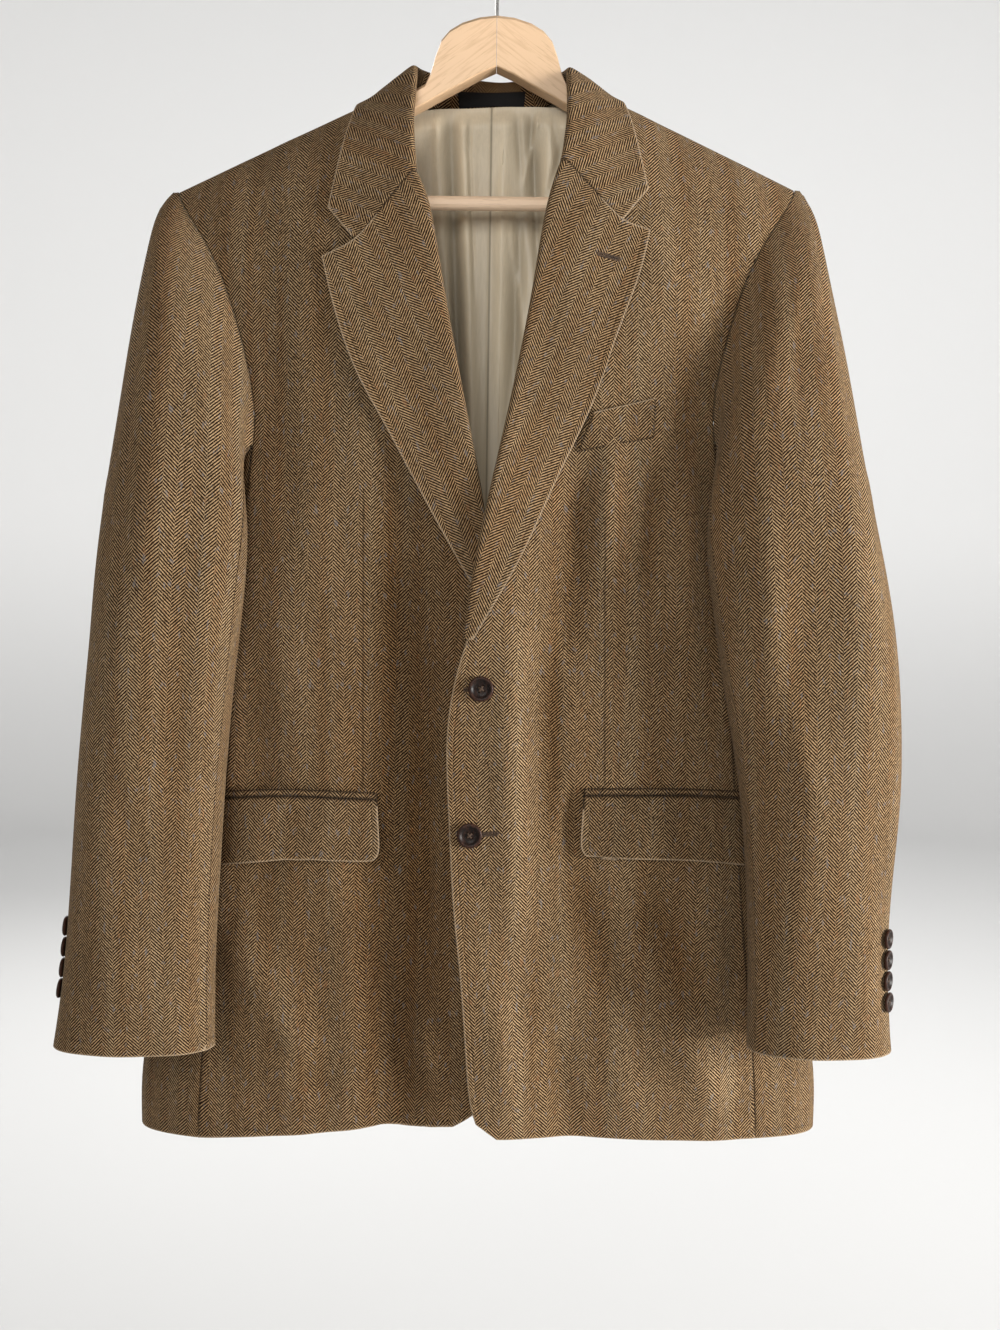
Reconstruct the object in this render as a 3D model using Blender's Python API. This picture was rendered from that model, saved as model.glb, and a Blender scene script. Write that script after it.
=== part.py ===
"""Tweed jacket hanging on a wooden hanger.

+X is the viewer's right, +Y points away from the viewer and +Z is up. The origin is the inside
top of the hanger's hook. Left and right are as seen from the front. Every size is in
millimetres, MM turns it into metres, and "down" is the distance below the origin.
The cloth is a set of closed walls. Each panel is worked out on the surface of one garment form:
fronts, side bodies and backs share the body's rings, and each pair of sleeve pieces its sleeve's.
"""

import math
from functools import partial

import bmesh
import bpy
import numpy as np
from mathutils import Matrix
from mathutils.bvhtree import BVHTree

MM = 0.001
GAP = 0.3
HAIRLINE = 0.001

TWEED = 2.0
LAPEL_CLOTH = 1.6
LINING_CLOTH = 1.0
FLAP_CLOTH = 2.0

CENTRE = -7.0
SIDES = {"left": -1.0, "right": 1.0}


# --- tables -------------------------------------------------------------------------------------


def table(columns, *rows):
    """Named columns of numbers, with a row for each section or fold."""
    return dict(zip(columns.split(), np.array(rows, float).T))


def smooth(xs, ys, x):
    """The height at x of the smooth curve through the points xs, ys, with no overshoot."""
    x = np.clip(np.asarray(x, float), xs[0], xs[-1])
    step = np.diff(xs)
    rise = np.diff(ys) / step
    slope = np.concatenate([rise[:1], np.zeros(len(xs) - 2), rise[-1:]])
    same_way = rise[:-1] * rise[1:] > 0
    both = rise[:-1] + rise[1:]
    slope[1:-1] = np.where(same_way, 2 * rise[:-1] * rise[1:] / np.where(same_way, both, 1), 0)
    i = np.clip(np.searchsorted(xs, x, side="right") - 1, 0, len(step) - 1)
    t = (x - xs[i]) / step[i]
    start = ys[i] * (1 + 2 * t) * (1 - t) ** 2 + slope[i] * step[i] * t * (1 - t) ** 2
    end = ys[i + 1] * t**2 * (3 - 2 * t) + slope[i + 1] * step[i] * t**2 * (t - 1)
    return start + end


def look(rows, column, value, key="down"):
    """One column of a table, read at a value of its first column."""
    return smooth(rows[key], rows[column], value)


def ramp(low, high, value):
    """0 below low, 1 above high, and a soft step between."""
    t = np.clip((np.asarray(value, float) - low) / (high - low), 0, 1)
    return t * t * (3 - 2 * t)


def blend(a, b, share):
    return a + (b - a) * share


# --- the body: rings down the garment -----------------------------------------------------------

# Half the width from side fold to side fold, and how far the side folds, the front and the back
# lie from the hanger's plane. Above the underarm the width is that of the ring that the armhole
# cuts short.
BODY = table(
    "down half_width fold front back",
    (100, 300, 0, -42, 38),
    (210, 297, 0, -46, 42),
    (242, 277, 0, -49, 47),
    (305, 240, 0, -54, 52),
    (363, 220, -1, -58, 56),
    (415, 214, -2, -62, 58),
    (452, 219, -1, -65, 58),
    (520, 237, 4, -68, 55),
    (600, 249, 9, -71, 51),
    (700, 257, 12, -71, 51),
    (800, 268, 13, -69, 54),
    (900, 281, 13, -66, 57),
    (950, 288, 12, -64, 59),
    (990, 287, 12, -62, 60),
)
RING_POWER = 2.6

# The shoulder seam's line, a hyperbola that flattens across the neck, and how far below it the
# cloth has rolled over to the full depth of the front and of the back.
SHOULDER_TOP = 86.0
SHOULDER_FALL = 0.484
SHOULDER_BEND = 40.0
FRONT_ROLL = 150.0
BACK_ROLL = 100.0

# Long soft folds: where each starts and ends, its half width, and its height towards the viewer.
FRONT_FOLDS = table(
    "x_top down_top x_bottom down_bottom half_width height",
    (-16, 520, -14, 1200, 34, 3.5),
    (24, 560, 22, 770, 13, 3.0),
    (45, 470, 44, 790, 12, -3.0),
    (66, 405, 66, 580, 12, -4.5),
    (86, 400, 84, 1200, 36, -9.0),
    (92, 400, 90, 500, 13, 4.5),
    (146, 370, 142, 480, 18, 4.5),
    (78, 755, 148, 870, 18, -5.0),
    (150, 820, 176, 960, 24, 4.0),
    (-80, 430, -84, 1200, 27, -9.0),
    (-128, 430, -136, 1100, 46, -4.5),
    (-205, 800, -150, 960, 22, 4.5),
    (-36, 760, -34, 950, 16, 3.0),
)
BACK_FOLDS = table(
    "x_top down_top x_bottom down_bottom half_width height",
    (-120, 300, -105, 620, 30, 4.0),
    (104, 320, 92, 600, 28, 3.5),
    (-60, 560, -70, 900, 24, -4.0),
    (44, 600, 52, 930, 22, -3.5),
    (150, 640, 168, 950, 26, 4.0),
    (-170, 680, -182, 960, 26, 3.5),
)

# Where the right front lies over the left one, and how far each is pushed from the form there.
OVERLAP = table(
    "down right left",
    (370, 0, 0),
    (440, 7, 0),
    (485, 9.5, 0),
    (555, 9.0, 0),
    (605, 4.0, -1.5),
    (660, 1.8, -1.8),
    (1000, 1.8, -1.8),
)
OVERLAP_REACH = 60.0


def shoulder_down(x):
    return SHOULDER_TOP + SHOULDER_FALL * np.hypot(x, SHOULDER_BEND)


def rolled(drop, roll):
    """How much of its depth the cloth has, a drop below the shoulder seam."""
    left_over = 1 - np.clip(np.abs(drop) / roll, 0, 1)
    return np.sqrt(np.clip(1 - left_over**2, 0, 1))


def fold_height(folds, x, down):
    """The sum of the soft folds at a place, towards the outside."""
    total = np.zeros(np.broadcast(x, down).shape)
    for row in range(len(folds["height"])):
        x_top, down_top, x_bottom, down_bottom, half_width, height = (
            folds[column][row] for column in folds
        )
        along = (down - down_top) / (down_bottom - down_top)
        away = (x - blend(x_top, x_bottom, along)) / half_width
        fade = ramp(-0.15, 0.3, along) * (1 - ramp(0.7, 1.15, along))
        total = total + height * fade * np.exp(-(away**2))
    return total


def ring_depth(x, down):
    """The share of the ring's depth at x, 1 at the centre and 0 at the side fold."""
    across = np.clip(np.abs(x - CENTRE) / look(BODY, "half_width", down), 0, 1)
    return (1 - across**RING_POWER) ** (1 / RING_POWER)


def inside_seams(x, down):
    """1 over the middle of a panel, fading to 0 before the side seams."""
    return 1 - ramp(0.66, 0.84, np.abs(x - CENTRE) / look(BODY, "half_width", down))


def overlap_push(side, x, down):
    if side == "right":
        near_edge = 1 - ramp(0, OVERLAP_REACH, x)
    else:
        near_edge = ramp(-30 - OVERLAP_REACH, -30, x)
    return look(OVERLAP, side, down) * near_edge


def front_y(side, x, down):
    """The front's outer face at a place seen from the front."""
    fold = look(BODY, "fold", down)
    depth = (look(BODY, "front", down) - fold) * ring_depth(x, down)
    y = fold + depth * rolled(down - shoulder_down(x), FRONT_ROLL)
    return y - fold_height(FRONT_FOLDS, x, down) * inside_seams(x, down) - overlap_push(side, x, down)


def back_y(x, down):
    """The back's outer face at a place seen from behind."""
    fold = look(BODY, "fold", down)
    depth = (look(BODY, "back", down) - fold) * ring_depth(x, down)
    y = fold + depth * rolled(down - shoulder_down(x), BACK_ROLL)
    return y + fold_height(BACK_FOLDS, x, down) * inside_seams(x, down)


def point(x, y, down):
    x, y, down = np.broadcast_arrays(x, y, down)
    return np.stack([x, y, -down], axis=-1).astype(float)


def front_face(side, x, down):
    return point(x, front_y(side, x, down), down)


def back_face(x, down):
    return point(x, back_y(x, down), down)


def side_face(side, turn, down):
    """The body's surface at a turn in degrees round the ring, 0 in front and 90 at the fold."""
    angle = np.radians(turn)
    half = look(BODY, "half_width", down)
    fold = look(BODY, "fold", down)
    reach = np.where(turn < 90, look(BODY, "front", down), look(BODY, "back", down))
    x = CENTRE + SIDES[side] * half * np.sin(angle) ** (2 / RING_POWER)
    y = fold + (reach - fold) * np.abs(np.cos(angle)) ** (2 / RING_POWER)
    return point(x, y, down)


# --- seams --------------------------------------------------------------------------------------

# The armhole by the angle around the sleeve that meets it there, 0 on top, 90 in front and 180
# towards the body: the drop below the shoulder line, and half the width between the armholes.
FOREARM_SEAM = 155.0
BACK_SEAM_AROUND = 265.0
FRONT_ARMHOLE = table(
    "around drop half_width",
    (0, 0, 252),
    (22, 9, 249.5),
    (40, 30, 240),
    (56, 58, 226),
    (72, 86, 214),
    (90, 118, 203.5),
    (107, 151, 195),
    (124, 186, 187),
    (141, 220, 182.5),
    (FOREARM_SEAM, 243, 184),
)
BACK_ARMHOLE = table(
    "around drop half_width",
    (BACK_SEAM_AROUND, 238, 190),
    (281, 190, 198),
    (296, 150, 207),
    (310, 110, 217),
    (323, 70, 228),
    (335, 38, 239),
    (347, 11, 248.5),
    (360, 0, 252),
)
UNDERARM_DIP = 32.0

FRONT_SEAM = table(
    "down half_width",
    (410, 184),
    (500, 192),
    (600, 198),
    (700, 205),
    (800, 213),
    (917, 224),
    (990, 228),
)
BACK_SEAM = table(
    "down half_width",
    (410, 190),
    (500, 203),
    (600, 217),
    (700, 226),
    (800, 236),
    (900, 246),
    (990, 252),
)

# Each lapel's fold and free edge, and each front's edge below the lapel, as x by the distance down.
ROLL = {
    "right": table(
        "down x", (197, 51.5), (226, 41.5), (307, 28.5), (387, 13.5), (458, -1.5), (524, -14.5), (575, -21)
    ),
    "left": table(
        "down x", (207, -61.4), (226, -52.5), (300, -38.5), (387, -21.7), (466, -6), (535, 3)
    ),
}
LAPEL_EDGE = {
    "right": table(
        "down x", (251, 123), (287, 115), (331, 98), (387, 80), (442, 53.5), (513, 22), (575, -13)
    ),
    "left": table(
        "down x", (275, -135.8), (316, -125.4), (364, -108.7), (407, -84.4), (474, -48), (535, -13)
    ),
}
FRONT_EDGE = {
    "right": table(
        "down x",
        (575, -21),
        (600, -25.7),
        (631, -33),
        (654, -34.6),
        (702, -32),
        (741, -30),
        (781, -28),
        (822, -23),
        (862, -19.5),
        (911, -16),
        (943, -14),
        (959, -9.5),
        (969, -2),
        (975, 9),
    ),
    "left": table(
        "down x",
        (535, 3),
        (600, 10),
        (650, 12),
        (740, 12),
        (860, 12),
        (925, 8),
        (945, 2),
        (958, -9),
        (966, -26),
    ),
}
# Gorge: the lapel's notch and tip, seen from the front.
NOTCH = {"right": (100.7, 244.5), "left": (-109.5, 263.0)}
LAPEL_TIP = {"right": (123.0, 251.0), "left": (-135.8, 275.3)}
NOTCH_SHARE = 0.745
GORGE_DOWN = {"right": 197.0, "left": 207.0}
BREAK_DOWN = {"right": 575.0, "left": 535.0}
COLLAR_TIP = {"right": (122.0, 217.0), "left": (-132.2, 235.6)}
HEM_IN = {"right": 975.0, "left": 966.0}
HEM_FRONT_SEAM = {"right": 981.0, "left": 985.0}
HEM_BACK_SEAM = 988.0
HEM_BACK = 986.0
HEM_DIP = 2.0

# The seam between the neck and the collar's foot: x on the right and the fall at each share of the
# way from the centre of the back (0) to the gorge (1).
NECK = table(
    "round x fall",
    (0.0, 0, -31),
    (0.17, 27, -29),
    (0.29, 46.5, -22),
    (0.38, 60, -9),
    (0.46, 66, 0),
    (0.6, 66, 16),
    (0.8, 65, 48),
    (1.0, 64, 82),
)
NECK_CENTRE = -4.0
NECK_POINT = 4
NECK_EASE = 0.25


def neck_x(side, across):
    return NECK_CENTRE + SIDES[side] * across


LAPEL_FOLD = 4.5
BREAK_FOLD = 2.4
FOLD_FADE = 150.0
FOLD_ROOM = 1.7

# How far above and below the gorge and the break the front's edge takes its next line.
GORGE_TURN = (-12, 2)
BREAK_TURN = (1, 16)


def fold_radius(side, down):
    """The outer radius of the lapel's rolled fold, small at the break and full higher up."""
    return blend(LAPEL_FOLD, BREAK_FOLD, ramp(BREAK_DOWN[side] - FOLD_FADE, BREAK_DOWN[side], down))


def front_inner_x(side, down):
    """The edge of the front that lies under the collar, then at the lapel's fold, then free."""
    sign = SIDES[side]
    fall = down - shoulder_down(NECK["x"][-1])
    neck = neck_x(side, np.interp(fall, NECK["fall"][NECK_POINT:], NECK["x"][NECK_POINT:])) + sign * GAP
    roll = look(ROLL[side], "x", down) + sign * (fold_radius(side, down) + FOLD_ROOM)
    edge = look(FRONT_EDGE[side], "x", down)
    upper = blend(neck, roll, ramp(*GORGE_TURN, down - GORGE_DOWN[side]))
    return blend(upper, edge, ramp(*BREAK_TURN, down - BREAK_DOWN[side]))


def armhole_x(side, half_width):
    return CENTRE + SIDES[side] * half_width


def seam_turn(seam, down):
    """The turn round the ring at which a side seam lies."""
    share = look(seam, "half_width", down) / look(BODY, "half_width", down)
    return np.degrees(np.arcsin(np.clip(share, 0, 1) ** (RING_POWER / 2)))


def armhole_end(side, rows, last):
    x = armhole_x(side, rows["half_width"][last])
    return float(shoulder_down(x) + rows["drop"][last])


def underarm(side, share):
    """The turn and the distance down along the underarm, from the front seam to the back one."""
    front_down = armhole_end(side, FRONT_ARMHOLE, -1)
    back_down = armhole_end(side, BACK_ARMHOLE, 0)
    down = blend(front_down, back_down, share) + UNDERARM_DIP * np.sin(np.pi * share)
    return blend(seam_turn(FRONT_SEAM, down), 180 - seam_turn(BACK_SEAM, down), share), down


# --- walls --------------------------------------------------------------------------------------


FACE_STEPS = (0.02, 0.02)
TURN_STEPS = (0.05, 0.02)
SLEEVE_STEPS = (0.1, 0.0005)
LEAF_STEPS = (0.004, 0.002)


def normals(surface, u, v, outward, steps):
    """Unit normals of a surface, on the side that outward points to at the middle of the sheet."""
    step_u, step_v = steps
    start_v = np.minimum(v, np.max(v) - step_v)
    along_u = surface(u + step_u, v) - surface(u - step_u, v)
    along_v = surface(u, start_v + step_v) - surface(u, start_v)
    across = np.cross(along_u, along_v)
    across = across / np.linalg.norm(across, axis=-1, keepdims=True)
    middle = across[across.shape[0] // 2, across.shape[1] // 2]
    return across if np.dot(middle, outward) > 0 else -across


def grid(us, vs):
    return np.meshgrid(np.asarray(us, float), np.asarray(vs, float))


def smooth_shaded(mesh, sharp_over=math.radians(50)):
    mesh.shade_smooth()
    mesh.set_sharp_from_angle(angle=sharp_over)


def new_object(name, form, material):
    """A node from a bmesh whose faces are turned outwards."""
    bmesh.ops.recalc_face_normals(form, faces=form.faces)
    mesh = bpy.data.meshes.new(name)
    form.to_mesh(mesh)
    form.free()
    mesh.materials.append(material)
    smooth_shaded(mesh)
    node = bpy.data.objects.new(name, mesh)
    bpy.context.scene.collection.objects.link(node)
    return node


def wall(name, outer, inner, material):
    """A closed wall between an outer and an inner grid of points."""
    form = bmesh.new()
    faces = [[[form.verts.new(at * MM) for at in row] for row in layer] for layer in (outer, inner)]
    rows, columns = outer.shape[:2]
    for layer in faces:
        for i in range(rows - 1):
            for j in range(columns - 1):
                form.faces.new((layer[i][j], layer[i][j + 1], layer[i + 1][j + 1], layer[i + 1][j]))
    corners = [(0, j) for j in range(columns)]
    corners += [(i, columns - 1) for i in range(1, rows)]
    corners += [(rows - 1, j) for j in range(columns - 2, -1, -1)]
    corners += [(i, 0) for i in range(rows - 2, 0, -1)]
    front, back = faces
    for (i, j), (k, m) in zip(corners, corners[1:] + corners[:1]):
        form.faces.new((front[i][j], front[k][m], back[k][m], back[i][j]))
    return new_object(name, form, material)


def evened(directions):
    """Unit directions over a grid, each inner one turned to the mean of those around it."""
    rows, columns = directions.shape[:2]
    total = sum(directions[i : rows - 2 + i, j : columns - 2 + j] for i in range(3) for j in range(3))
    directions = directions.copy()
    directions[1:-1, 1:-1] = total / np.linalg.norm(total, axis=-1, keepdims=True)
    return directions


def sheet(name, surface, u, v, outward, thickness, material, steps=FACE_STEPS):
    """A wall whose outer face is a surface and whose thickness goes inwards."""
    outer = surface(u, v)
    inner = outer - evened(normals(surface, u, v, outward, steps)) * thickness
    return wall(name, outer, inner, material)


LYING = 0.55
RAY_START = 200.0
TO_VIEWER = np.array([0.0, -1.0, 0.0])


def cloth_height(nodes, places, out):
    """How far along out the foremost of the nodes' own faces lies at each place."""
    trees = [BVHTree.FromPolygons(*faces_of(node)) for node in nodes]
    height = np.full(places.shape[:-1], -np.inf)
    for index in np.ndindex(height.shape):
        for tree in trees:
            hit = tree.ray_cast(places[index] + out * RAY_START, -out)[0]
            if hit is not None:
                height[index] = max(height[index], float((np.array(hit) - places[index]) @ out))
    return height


def faces_of(node):
    """A node's corners in millimetres and the triangles that its faces are split into."""
    node.data.calc_loop_triangles()
    corners = [corner.co / MM for corner in node.data.vertices]
    return corners, [list(face.vertices) for face in node.data.loop_triangles]


def finish(name, color, roughness, metallic=0.0):
    material = bpy.data.materials.new(name)
    material.use_nodes = True
    shader = material.node_tree.nodes["Principled BSDF"]
    shader.inputs["Base Color"].default_value = (*color, 1.0)
    shader.inputs["Roughness"].default_value = roughness
    shader.inputs["Metallic"].default_value = metallic
    material.diffuse_color = (*color, 1.0)
    return material


# --- fronts, side bodies and backs --------------------------------------------------------------

# The rows of a front or a back meet the sleeve's columns at the armhole, so that both sides of
# that seam share their corners. Below the underarm they are even, but for the hem's corner.
ARMHOLE_SHARE = 0.27
EVEN_AFTER = 0.3
UNDERARM_COLUMNS = 7
FRONT_AROUND = np.concatenate([[0, 7], np.linspace(16, FOREARM_SEAM, 11)])
BACK_AROUND = np.concatenate([[360, 355], np.linspace(347, BACK_SEAM_AROUND, 8)])
BREAK_SHARE = 0.5312
LOWER_ROWS = np.concatenate(
    [np.linspace(ARMHOLE_SHARE, BREAK_SHARE, 7)[1:], [0.55], np.linspace(0.6, 0.965, 9), [0.985, 1.0]]
)
FRONT_COLUMNS = np.concatenate([[0.0, 0.04], np.linspace(0.11, 1.0, 10)])
BACK_COLUMNS = np.linspace(0.37, 1.0, 7)
SIDE_ROWS = np.linspace(0.0, 1.0, 15)
SIDE_COLUMNS = np.linspace(0.0, 1.0, UNDERARM_COLUMNS)


def outer_edge(side, armhole_rows, arounds, seam, hem):
    """The rows' shares, and x and down along a panel's outer edge: the armhole, then the side seam."""
    drop = np.maximum(look(armhole_rows, "drop", arounds, "around"), HAIRLINE)
    x = armhole_x(side, look(armhole_rows, "half_width", arounds, "around"))
    down = shoulder_down(x) + drop
    seam_down = blend(down[-1], hem, (LOWER_ROWS - ARMHOLE_SHARE) / (1 - ARMHOLE_SHARE))
    seam_x = armhole_x(side, look(seam, "half_width", seam_down)) - SIDES[side] * GAP / 2
    share = np.concatenate([ARMHOLE_SHARE * (drop - HAIRLINE) / drop[-1], LOWER_ROWS])
    return share, np.concatenate([x, seam_x]), np.concatenate([down, seam_down])


def panel_grid(inner_x, inner_down, outer_x, outer_down, share, across):
    """Places over a panel, whose upper rows follow the shoulder line and lower ones lie level."""
    x = blend(inner_x, outer_x, across)
    level = blend(inner_down, outer_down, across)
    chord = blend(shoulder_down(inner_x), shoulder_down(outer_x), across)
    return x, level + (shoulder_down(x) - chord) * (1 - ramp(0, EVEN_AFTER, share))


def front_panel(side, material):
    sign = SIDES[side]
    rows, edge_x, edge_down = outer_edge(side, FRONT_ARMHOLE, FRONT_AROUND, FRONT_SEAM, HEM_FRONT_SEAM[side])
    across, share = grid(FRONT_COLUMNS, rows)
    top_x = neck_x(side, NECK["x"][NECK_POINT]) + sign * GAP
    inner_down = blend(shoulder_down(top_x) + HAIRLINE, HEM_IN[side], share)
    inner_x = np.where(share == 0, top_x, front_inner_x(side, inner_down))
    x, down = panel_grid(inner_x, inner_down, edge_x[:, None], edge_down[:, None], share, across)
    return sheet(f"front_{side}", partial(front_face, side), x, down, (0, -1, 0), TWEED, material)


def neck_fall(across):
    """How far below the shoulder line the neck seam lies at the back."""
    return np.interp(np.abs(across), NECK["x"][: NECK_POINT + 1], -NECK["fall"][: NECK_POINT + 1])


def back_panel(side, material):
    sign = SIDES[side]
    rows, edge_x, edge_down = outer_edge(side, BACK_ARMHOLE, BACK_AROUND, BACK_SEAM, HEM_BACK_SEAM)
    at_neck = NECK["x"][: NECK_POINT + 1] / abs(edge_x[0] - NECK_CENTRE)
    across, share = grid(np.concatenate([at_neck, BACK_COLUMNS]), rows)
    inner_x = NECK_CENTRE + (CENTRE - NECK_CENTRE) * ramp(0, 0.4, share) + sign * GAP / 2
    inner_down = blend(shoulder_down(inner_x) + HAIRLINE, HEM_BACK, share)
    x, down = panel_grid(inner_x, inner_down, edge_x[:, None], edge_down[:, None], share, across)
    from_neck = np.abs(x - NECK_CENTRE)
    low = np.where(from_neck < NECK["x"][NECK_POINT], neck_fall(from_neck) + GAP, 0)
    down = down + low * (1 - ramp(0, NECK_EASE, share))
    return sheet(f"back_{side}", back_face, x, down, (0, 1, 0), TWEED, material)


def side_panel(side, material):
    across, share = grid(SIDE_COLUMNS, SIDE_ROWS)
    _, top = underarm(side, across)
    hem = blend(HEM_FRONT_SEAM[side], HEM_BACK_SEAM, across) + HEM_DIP * np.sin(np.pi * across)
    down = blend(top + GAP, hem, share)
    front_turn = seam_turn(FRONT_SEAM, down)
    back_turn = 180 - seam_turn(BACK_SEAM, down)
    seam_gap = np.degrees(GAP / 2 / look(BODY, "half_width", down))
    turn = blend(front_turn + seam_gap, back_turn - seam_gap, across)
    surface = partial(side_face, side)
    return sheet(f"side_{side}", surface, turn, down, (SIDES[side], 0, 0), TWEED, material, TURN_STEPS)


# --- sleeves ------------------------------------------------------------------------------------

# Each sleeve's sections: the outline's outer and inner x, and the front and back of the section.
# Above the underarm they are those of the sleeve that the armhole cuts short.
SLEEVE = {
    "left": table(
        "down outer inner front back",
        (215, -270, -200, -22, 24),
        (240, -278, -200, -38, 34),
        (300, -288, -192, -58, 38),
        (360, -295, -187, -76, 34),
        (420, -300, -187, -92, 20),
        (480, -306, -188, -105, -2),
        (540, -309, -193, -112, -24),
        (620, -313, -200, -115, -34),
        (700, -320, -207, -116, -40),
        (780, -325, -211, -116, -44),
        (850, -331, -213, -114, -46),
        (896, -339, -213, -112, -48),
    ),
    "right": table(
        "down outer inner front back",
        (215, 256, 185, -22, 24),
        (240, 265, 180, -38, 34),
        (300, 275, 176, -58, 38),
        (360, 286, 170, -76, 34),
        (420, 293, 166, -92, 20),
        (480, 302, 165, -105, -2),
        (540, 312, 171, -112, -24),
        (620, 320, 184, -115, -34),
        (700, 321, 197, -116, -40),
        (780, 312, 203, -116, -44),
        (850, 313, 205, -114, -46),
        (893, 317, 205, -112, -48),
    ),
}
CUFF_DOWN = {"left": 896.0, "right": 893.0}
SLEEVE_POWER = 2.3
SLEEVE_RADIUS = 55.0
SLEEVE_SEAM_GAP = 0.17
SLEEVE_CAP_GAP = 0.8

# How far below the armhole seam each line down the sleeve has rolled over to its full section.
CAP_ROLL = table(
    "around roll", (0, 20), (40, 30), (75, 42), (120, 52), (160, 60), (215, 70), (265, 60), (320, 36), (360, 20)
)
CAP_RISE = 3.0
CAP_SHARE = 0.2
BODY_CLEARANCE = 5.0

# The angles around over which a sleeve starts and stops keeping to the body's side.
BESIDE_STARTS = (118, 145)
BESIDE_STOPS = (285, 315)

SLEEVE_FOLDS = {
    "left": table(
        "around_top down_top around_bottom down_bottom half_width height",
        (60, 300, 76, 520, 16, 2.5),
        (104, 420, 112, 700, 15, -4.0),
        (78, 640, 66, 880, 16, 2.0),
    ),
    "right": table(
        "around_top down_top around_bottom down_bottom half_width height",
        (68, 290, 82, 400, 18, -6.0),
        (84, 500, 92, 660, 15, -4.0),
        (50, 380, 48, 700, 16, 3.5),
        (100, 600, 106, 860, 14, 2.5),
    ),
}

# The elbow seam near the outer edge, as an angle around. The forearm seam is hidden by the body.
ELBOW_SEAM = {
    "left": table("down around", (213, 0), (300, 12), (370, 24), (480, 19), (700, 4), (896, -7)),
    "right": table("down around", (213, 0), (300, 12), (370, 24), (480, 22), (700, 17), (896, 13)),
}


def section_round(around):
    """Unit steps of a sleeve's section: towards the outer side, and towards the front."""
    angle = np.radians(around)
    out, ahead = np.cos(angle), np.sin(angle)
    size = (np.abs(out) ** SLEEVE_POWER + np.abs(ahead) ** SLEEVE_POWER) ** (1 / SLEEVE_POWER)
    return out / size, ahead / size


def sleeve_section(side, around, down):
    rows = SLEEVE[side]
    outer, inner, front, back = (look(rows, column, down) for column in ("outer", "inner", "front", "back"))
    out, ahead = section_round(around)
    x = (outer + inner) / 2 + out * (outer - inner) / 2
    y = (front + back) / 2 + ahead * (front - back) / 2
    return x, y


def armhole(side, around):
    """The armhole seam on the body's surface, at an angle around the sleeve."""
    around = np.asarray(around, float)
    front_share = np.clip(around, 0, FRONT_ARMHOLE["around"][-1])
    front_x = armhole_x(side, look(FRONT_ARMHOLE, "half_width", front_share, "around"))
    front_down = shoulder_down(front_x) + look(FRONT_ARMHOLE, "drop", front_share, "around")
    back_share = np.clip(around, BACK_ARMHOLE["around"][0], 360)
    back_x = armhole_x(side, look(BACK_ARMHOLE, "half_width", back_share, "around"))
    back_down = shoulder_down(back_x) + look(BACK_ARMHOLE, "drop", back_share, "around")
    first, last = FRONT_ARMHOLE["around"][-1], BACK_ARMHOLE["around"][0]
    turn, under_down = underarm(side, np.clip((around - first) / (last - first), 0, 1))
    at = np.where((around <= first)[..., None], front_face(side, front_x, front_down), 0)
    at = np.where(((around > first) & (around < last))[..., None], side_face(side, turn, under_down), at)
    return np.where((around >= last)[..., None], back_face(back_x, back_down), at)


def ring_polar(side, x, y, down, clearance):
    """A place as its turn round the body's ring and how many times as far out as the ring it is."""
    half = look(BODY, "half_width", down) + clearance
    fold = look(BODY, "fold", down)
    depth = np.where(y < fold, fold - look(BODY, "front", down), look(BODY, "back", down) - fold)
    out = np.clip(SIDES[side] * (x - CENTRE) / half, 0, None) ** (RING_POWER / 2)
    ahead = (np.abs(y - fold) / (depth + clearance)) ** (RING_POWER / 2)
    turn = np.arctan2(out, np.where(y < fold, ahead, -ahead))
    return turn, (out**2 + ahead**2) ** (1 / RING_POWER)


def ring_point(side, turn, reach, down, clearance):
    half = look(BODY, "half_width", down) + clearance
    fold = look(BODY, "fold", down)
    front = turn < np.pi / 2
    depth = np.where(front, fold - look(BODY, "front", down), look(BODY, "back", down) - fold)
    ahead = np.abs(np.cos(turn)) ** (2 / RING_POWER) * (depth + clearance) * reach
    x = CENTRE + SIDES[side] * half * reach * np.sin(turn) ** (2 / RING_POWER)
    return x, fold - np.where(front, ahead, -ahead)


def round_the_body(side, seam, section, down, swung):
    """x and y on the way from the armhole to the section, kept outside the body's ring."""
    seam_turn_at, _ = ring_polar(side, seam[..., 0], seam[..., 1], -seam[..., 2], 0)
    clearance = GAP + BODY_CLEARANCE * swung
    section_turn, section_reach = ring_polar(side, *section, down, clearance)
    turn = blend(seam_turn_at, section_turn, swung)
    reach = np.maximum(blend(1.0, section_reach, swung), 1.0)
    return ring_point(side, turn, reach, down, clearance)


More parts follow.
